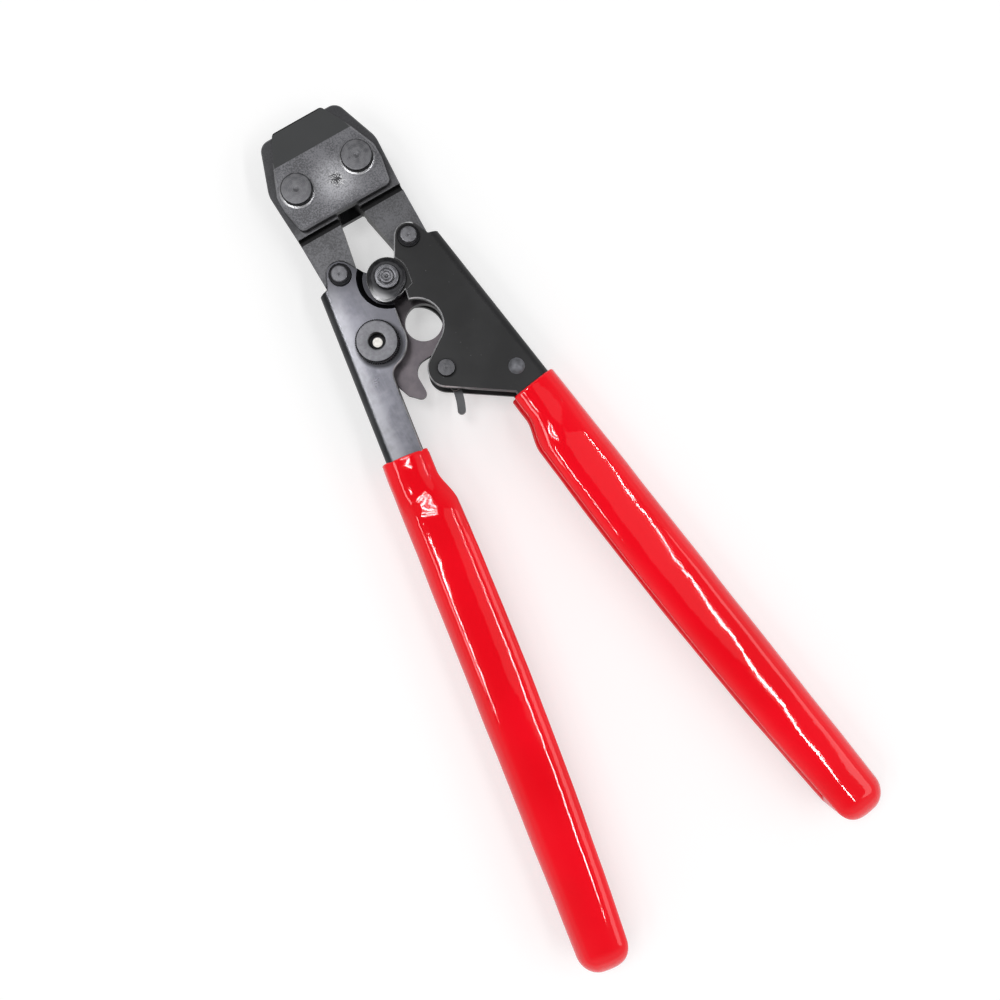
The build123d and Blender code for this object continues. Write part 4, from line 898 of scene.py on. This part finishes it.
# %% Black electro-coat
painted, tree, place = new_finish("black_electrocoat", IOR=1.45)
peel = add(tree, "TexNoise", {"Vector": place, "Scale": 1 / (0.8 * MM), "Detail": 2.0})
haze = add(tree, "TexNoise", {"Vector": place, "Scale": 1 / (14 * MM), "Detail": 4.0})
dust = add(tree, "TexNoise", {"Vector": place, "Scale": 1 / (0.9 * MM), "Detail": 1.0})
tone = add(tree, "MapRange", (haze, 0.35, 0.70, 0.0, 1.0), interpolation_type="SMOOTHSTEP")
black = add(tree, "Mix", {0: tone, 6: linear("#0C0C0E"), 7: linear("#151517")}, data_type="RGBA")
specks = add(tree, "MapRange", (dust, 0.76, 0.82, 0.0, 0.4))
black = add(tree, "Mix", {0: specks, 6: black, 7: linear("#77777A")}, data_type="RGBA")
chips = add(tree, "TexNoise", {"Vector": place, "Scale": 1 / (4 * MM), "Detail": 3.0})
bare = add(tree, "MapRange", (chips, 0.30, 0.50, 0.3, 1.0))
upwards = add(tree, "SeparateXYZ", (place,)).outputs["Y"]
kept = add(tree, "MapRange", (upwards, -46 * MM, -38 * MM, 0.15, 1.0))
bare = add(tree, "Math", (bare, kept), operation="MULTIPLY")
bare = add(tree, "Math", (bare, cut_edges(tree, from_web(tree, place, 1))), operation="MULTIPLY")
colour = add(tree, "Mix", {0: bare, 6: black, 7: linear("#DEDEE0")}, data_type="RGBA")
surface(tree, Base_Color=colour, Metallic=bare, Roughness=add(tree, "MapRange", (haze, 0.3, 0.7, 0.55, 0.45)),
        Normal=add(tree, "Bump", {"Height": peel, "Strength": 0.3, "Distance": 0.02 * MM}))
finish_of["right_handle"] = painted
print("electro-coat: peel 0.8 mm, chips 4 mm along the edges")

# %% [markdown]
# The ratchet sector and its pawl are spring steel, hardened and tempered: oil and heat left a brownish
# violet oxide in soft clouds, and the sector is darker round the main pivot. The spring is drawn from the
# same kind of steel and left black.

# %% Tempered steel
def tempered_steel(name, dark, light, darkened_share=0.0):
    """Oxide clouds about 5 mm across over fine scale pits, with lighter broken edges. Round the main pivot,
    the colour turns darker by the given share."""
    material, tree, place = new_finish(name, Metallic=0.85)
    clouds = add(tree, "TexNoise", {"Vector": place, "Scale": 1 / (5 * MM), "Detail": 4.0})
    tone = add(tree, "MapRange", (clouds, 0.35, 0.65, 0.0, 1.0), interpolation_type="SMOOTHSTEP")
    oxide = add(tree, "Mix", {0: tone, 6: linear(dark), 7: linear(light)}, data_type="RGBA")
    worn = add(tree, "Math", (facing_edge(tree), 0.5), operation="MULTIPLY")
    oxide = add(tree, "Mix", {0: worn, 6: oxide, 7: linear("#98948F")}, data_type="RGBA")
    scale = add(tree, "TexNoise", {"Vector": place, "Scale": 1 / (0.6 * MM), "Detail": 2.0})
    darkening = add(tree, "MapRange", (around(tree, place, (0, 0))[1], 11 * MM, 17 * MM, darkened_share, 0.0))
    oxide = add(tree, "Mix", {0: darkening, 6: oxide, 7: linear("#171617")}, data_type="RGBA")
    # Upright walls get painted shade.
    surface(tree, Base_Color=painted_wall_shade(tree, oxide, 0.85),
            Roughness=add(tree, "MapRange", (clouds, 0.3, 0.7, 0.36, 0.46)),
            Normal=add(tree, "Bump", {"Height": scale, "Strength": 0.3, "Distance": 0.03 * MM}))
    return material


finish_of["ratchet_sector"] = tempered_steel("tempered_steel", "#585357", "#6A6468", darkened_share=0.8)
finish_of["ratchet_pawl"] = tempered_steel("tempered_pawl_steel", "#4A4A4C", "#58585A")
finish_of["pawl_spring"] = tempered_steel("black_music_wire", "#2E2D2F", "#454446")
spring.data.materials.append(finish_of["pawl_spring"])
print("tempered steel: oxide clouds 5 mm")

# %% [markdown]
# The adjuster screw and its washer are bright zinc plated, thinly clouded by handling. The small dome rivet
# is plain steel, gone grey.

# %% Bright screw and grey dome
def clouded_metal(name, dark, light, metallic, roughness):
    """Clouds about 1.2 mm across in the colour and in the gloss."""
    material, tree, place = new_finish(name, Metallic=metallic)
    cloud = add(tree, "TexNoise", {"Vector": place, "Scale": 1 / (1.2 * MM), "Detail": 3.0})
    tone = add(tree, "MapRange", (cloud, 0.35, 0.65, 0.0, 1.0), interpolation_type="SMOOTHSTEP")
    surface(tree, Base_Color=add(tree, "Mix", {0: tone, 6: linear(dark), 7: linear(light)}, data_type="RGBA"),
            Roughness=add(tree, "MapRange", (cloud, 0.3, 0.7, roughness - 0.06, roughness + 0.06)))
    return material


zinc = clouded_metal("bright_zinc", "#D2CFCA", "#E8E5E0", 0.6, 0.42)
finish_of.update({name: zinc for name in ("adjuster_screw", "adjuster_washer")})
finish_of["spring_anchor_rivet"] = clouded_metal("grey_dome_steel", "#5E5F63", "#707176", 0.6, 0.45)
print("zinc and dome: clouds 1.2 mm")

# %% [markdown]
# The CAD nodes keep their shapes. Each takes the finish that was made for it.

# %% Each CAD node takes its finish
for name, node in frame["nodes"].items():
    node.data.materials.clear()
    node.data.materials.append(finish_of.get(name, plate_finish if name.endswith("_plate") else jaw_finish))
in_use = {slot.material.name for node in frame["nodes"].values() for slot in node.material_slots}
print("finishes in use on CAD nodes:", len(in_use))
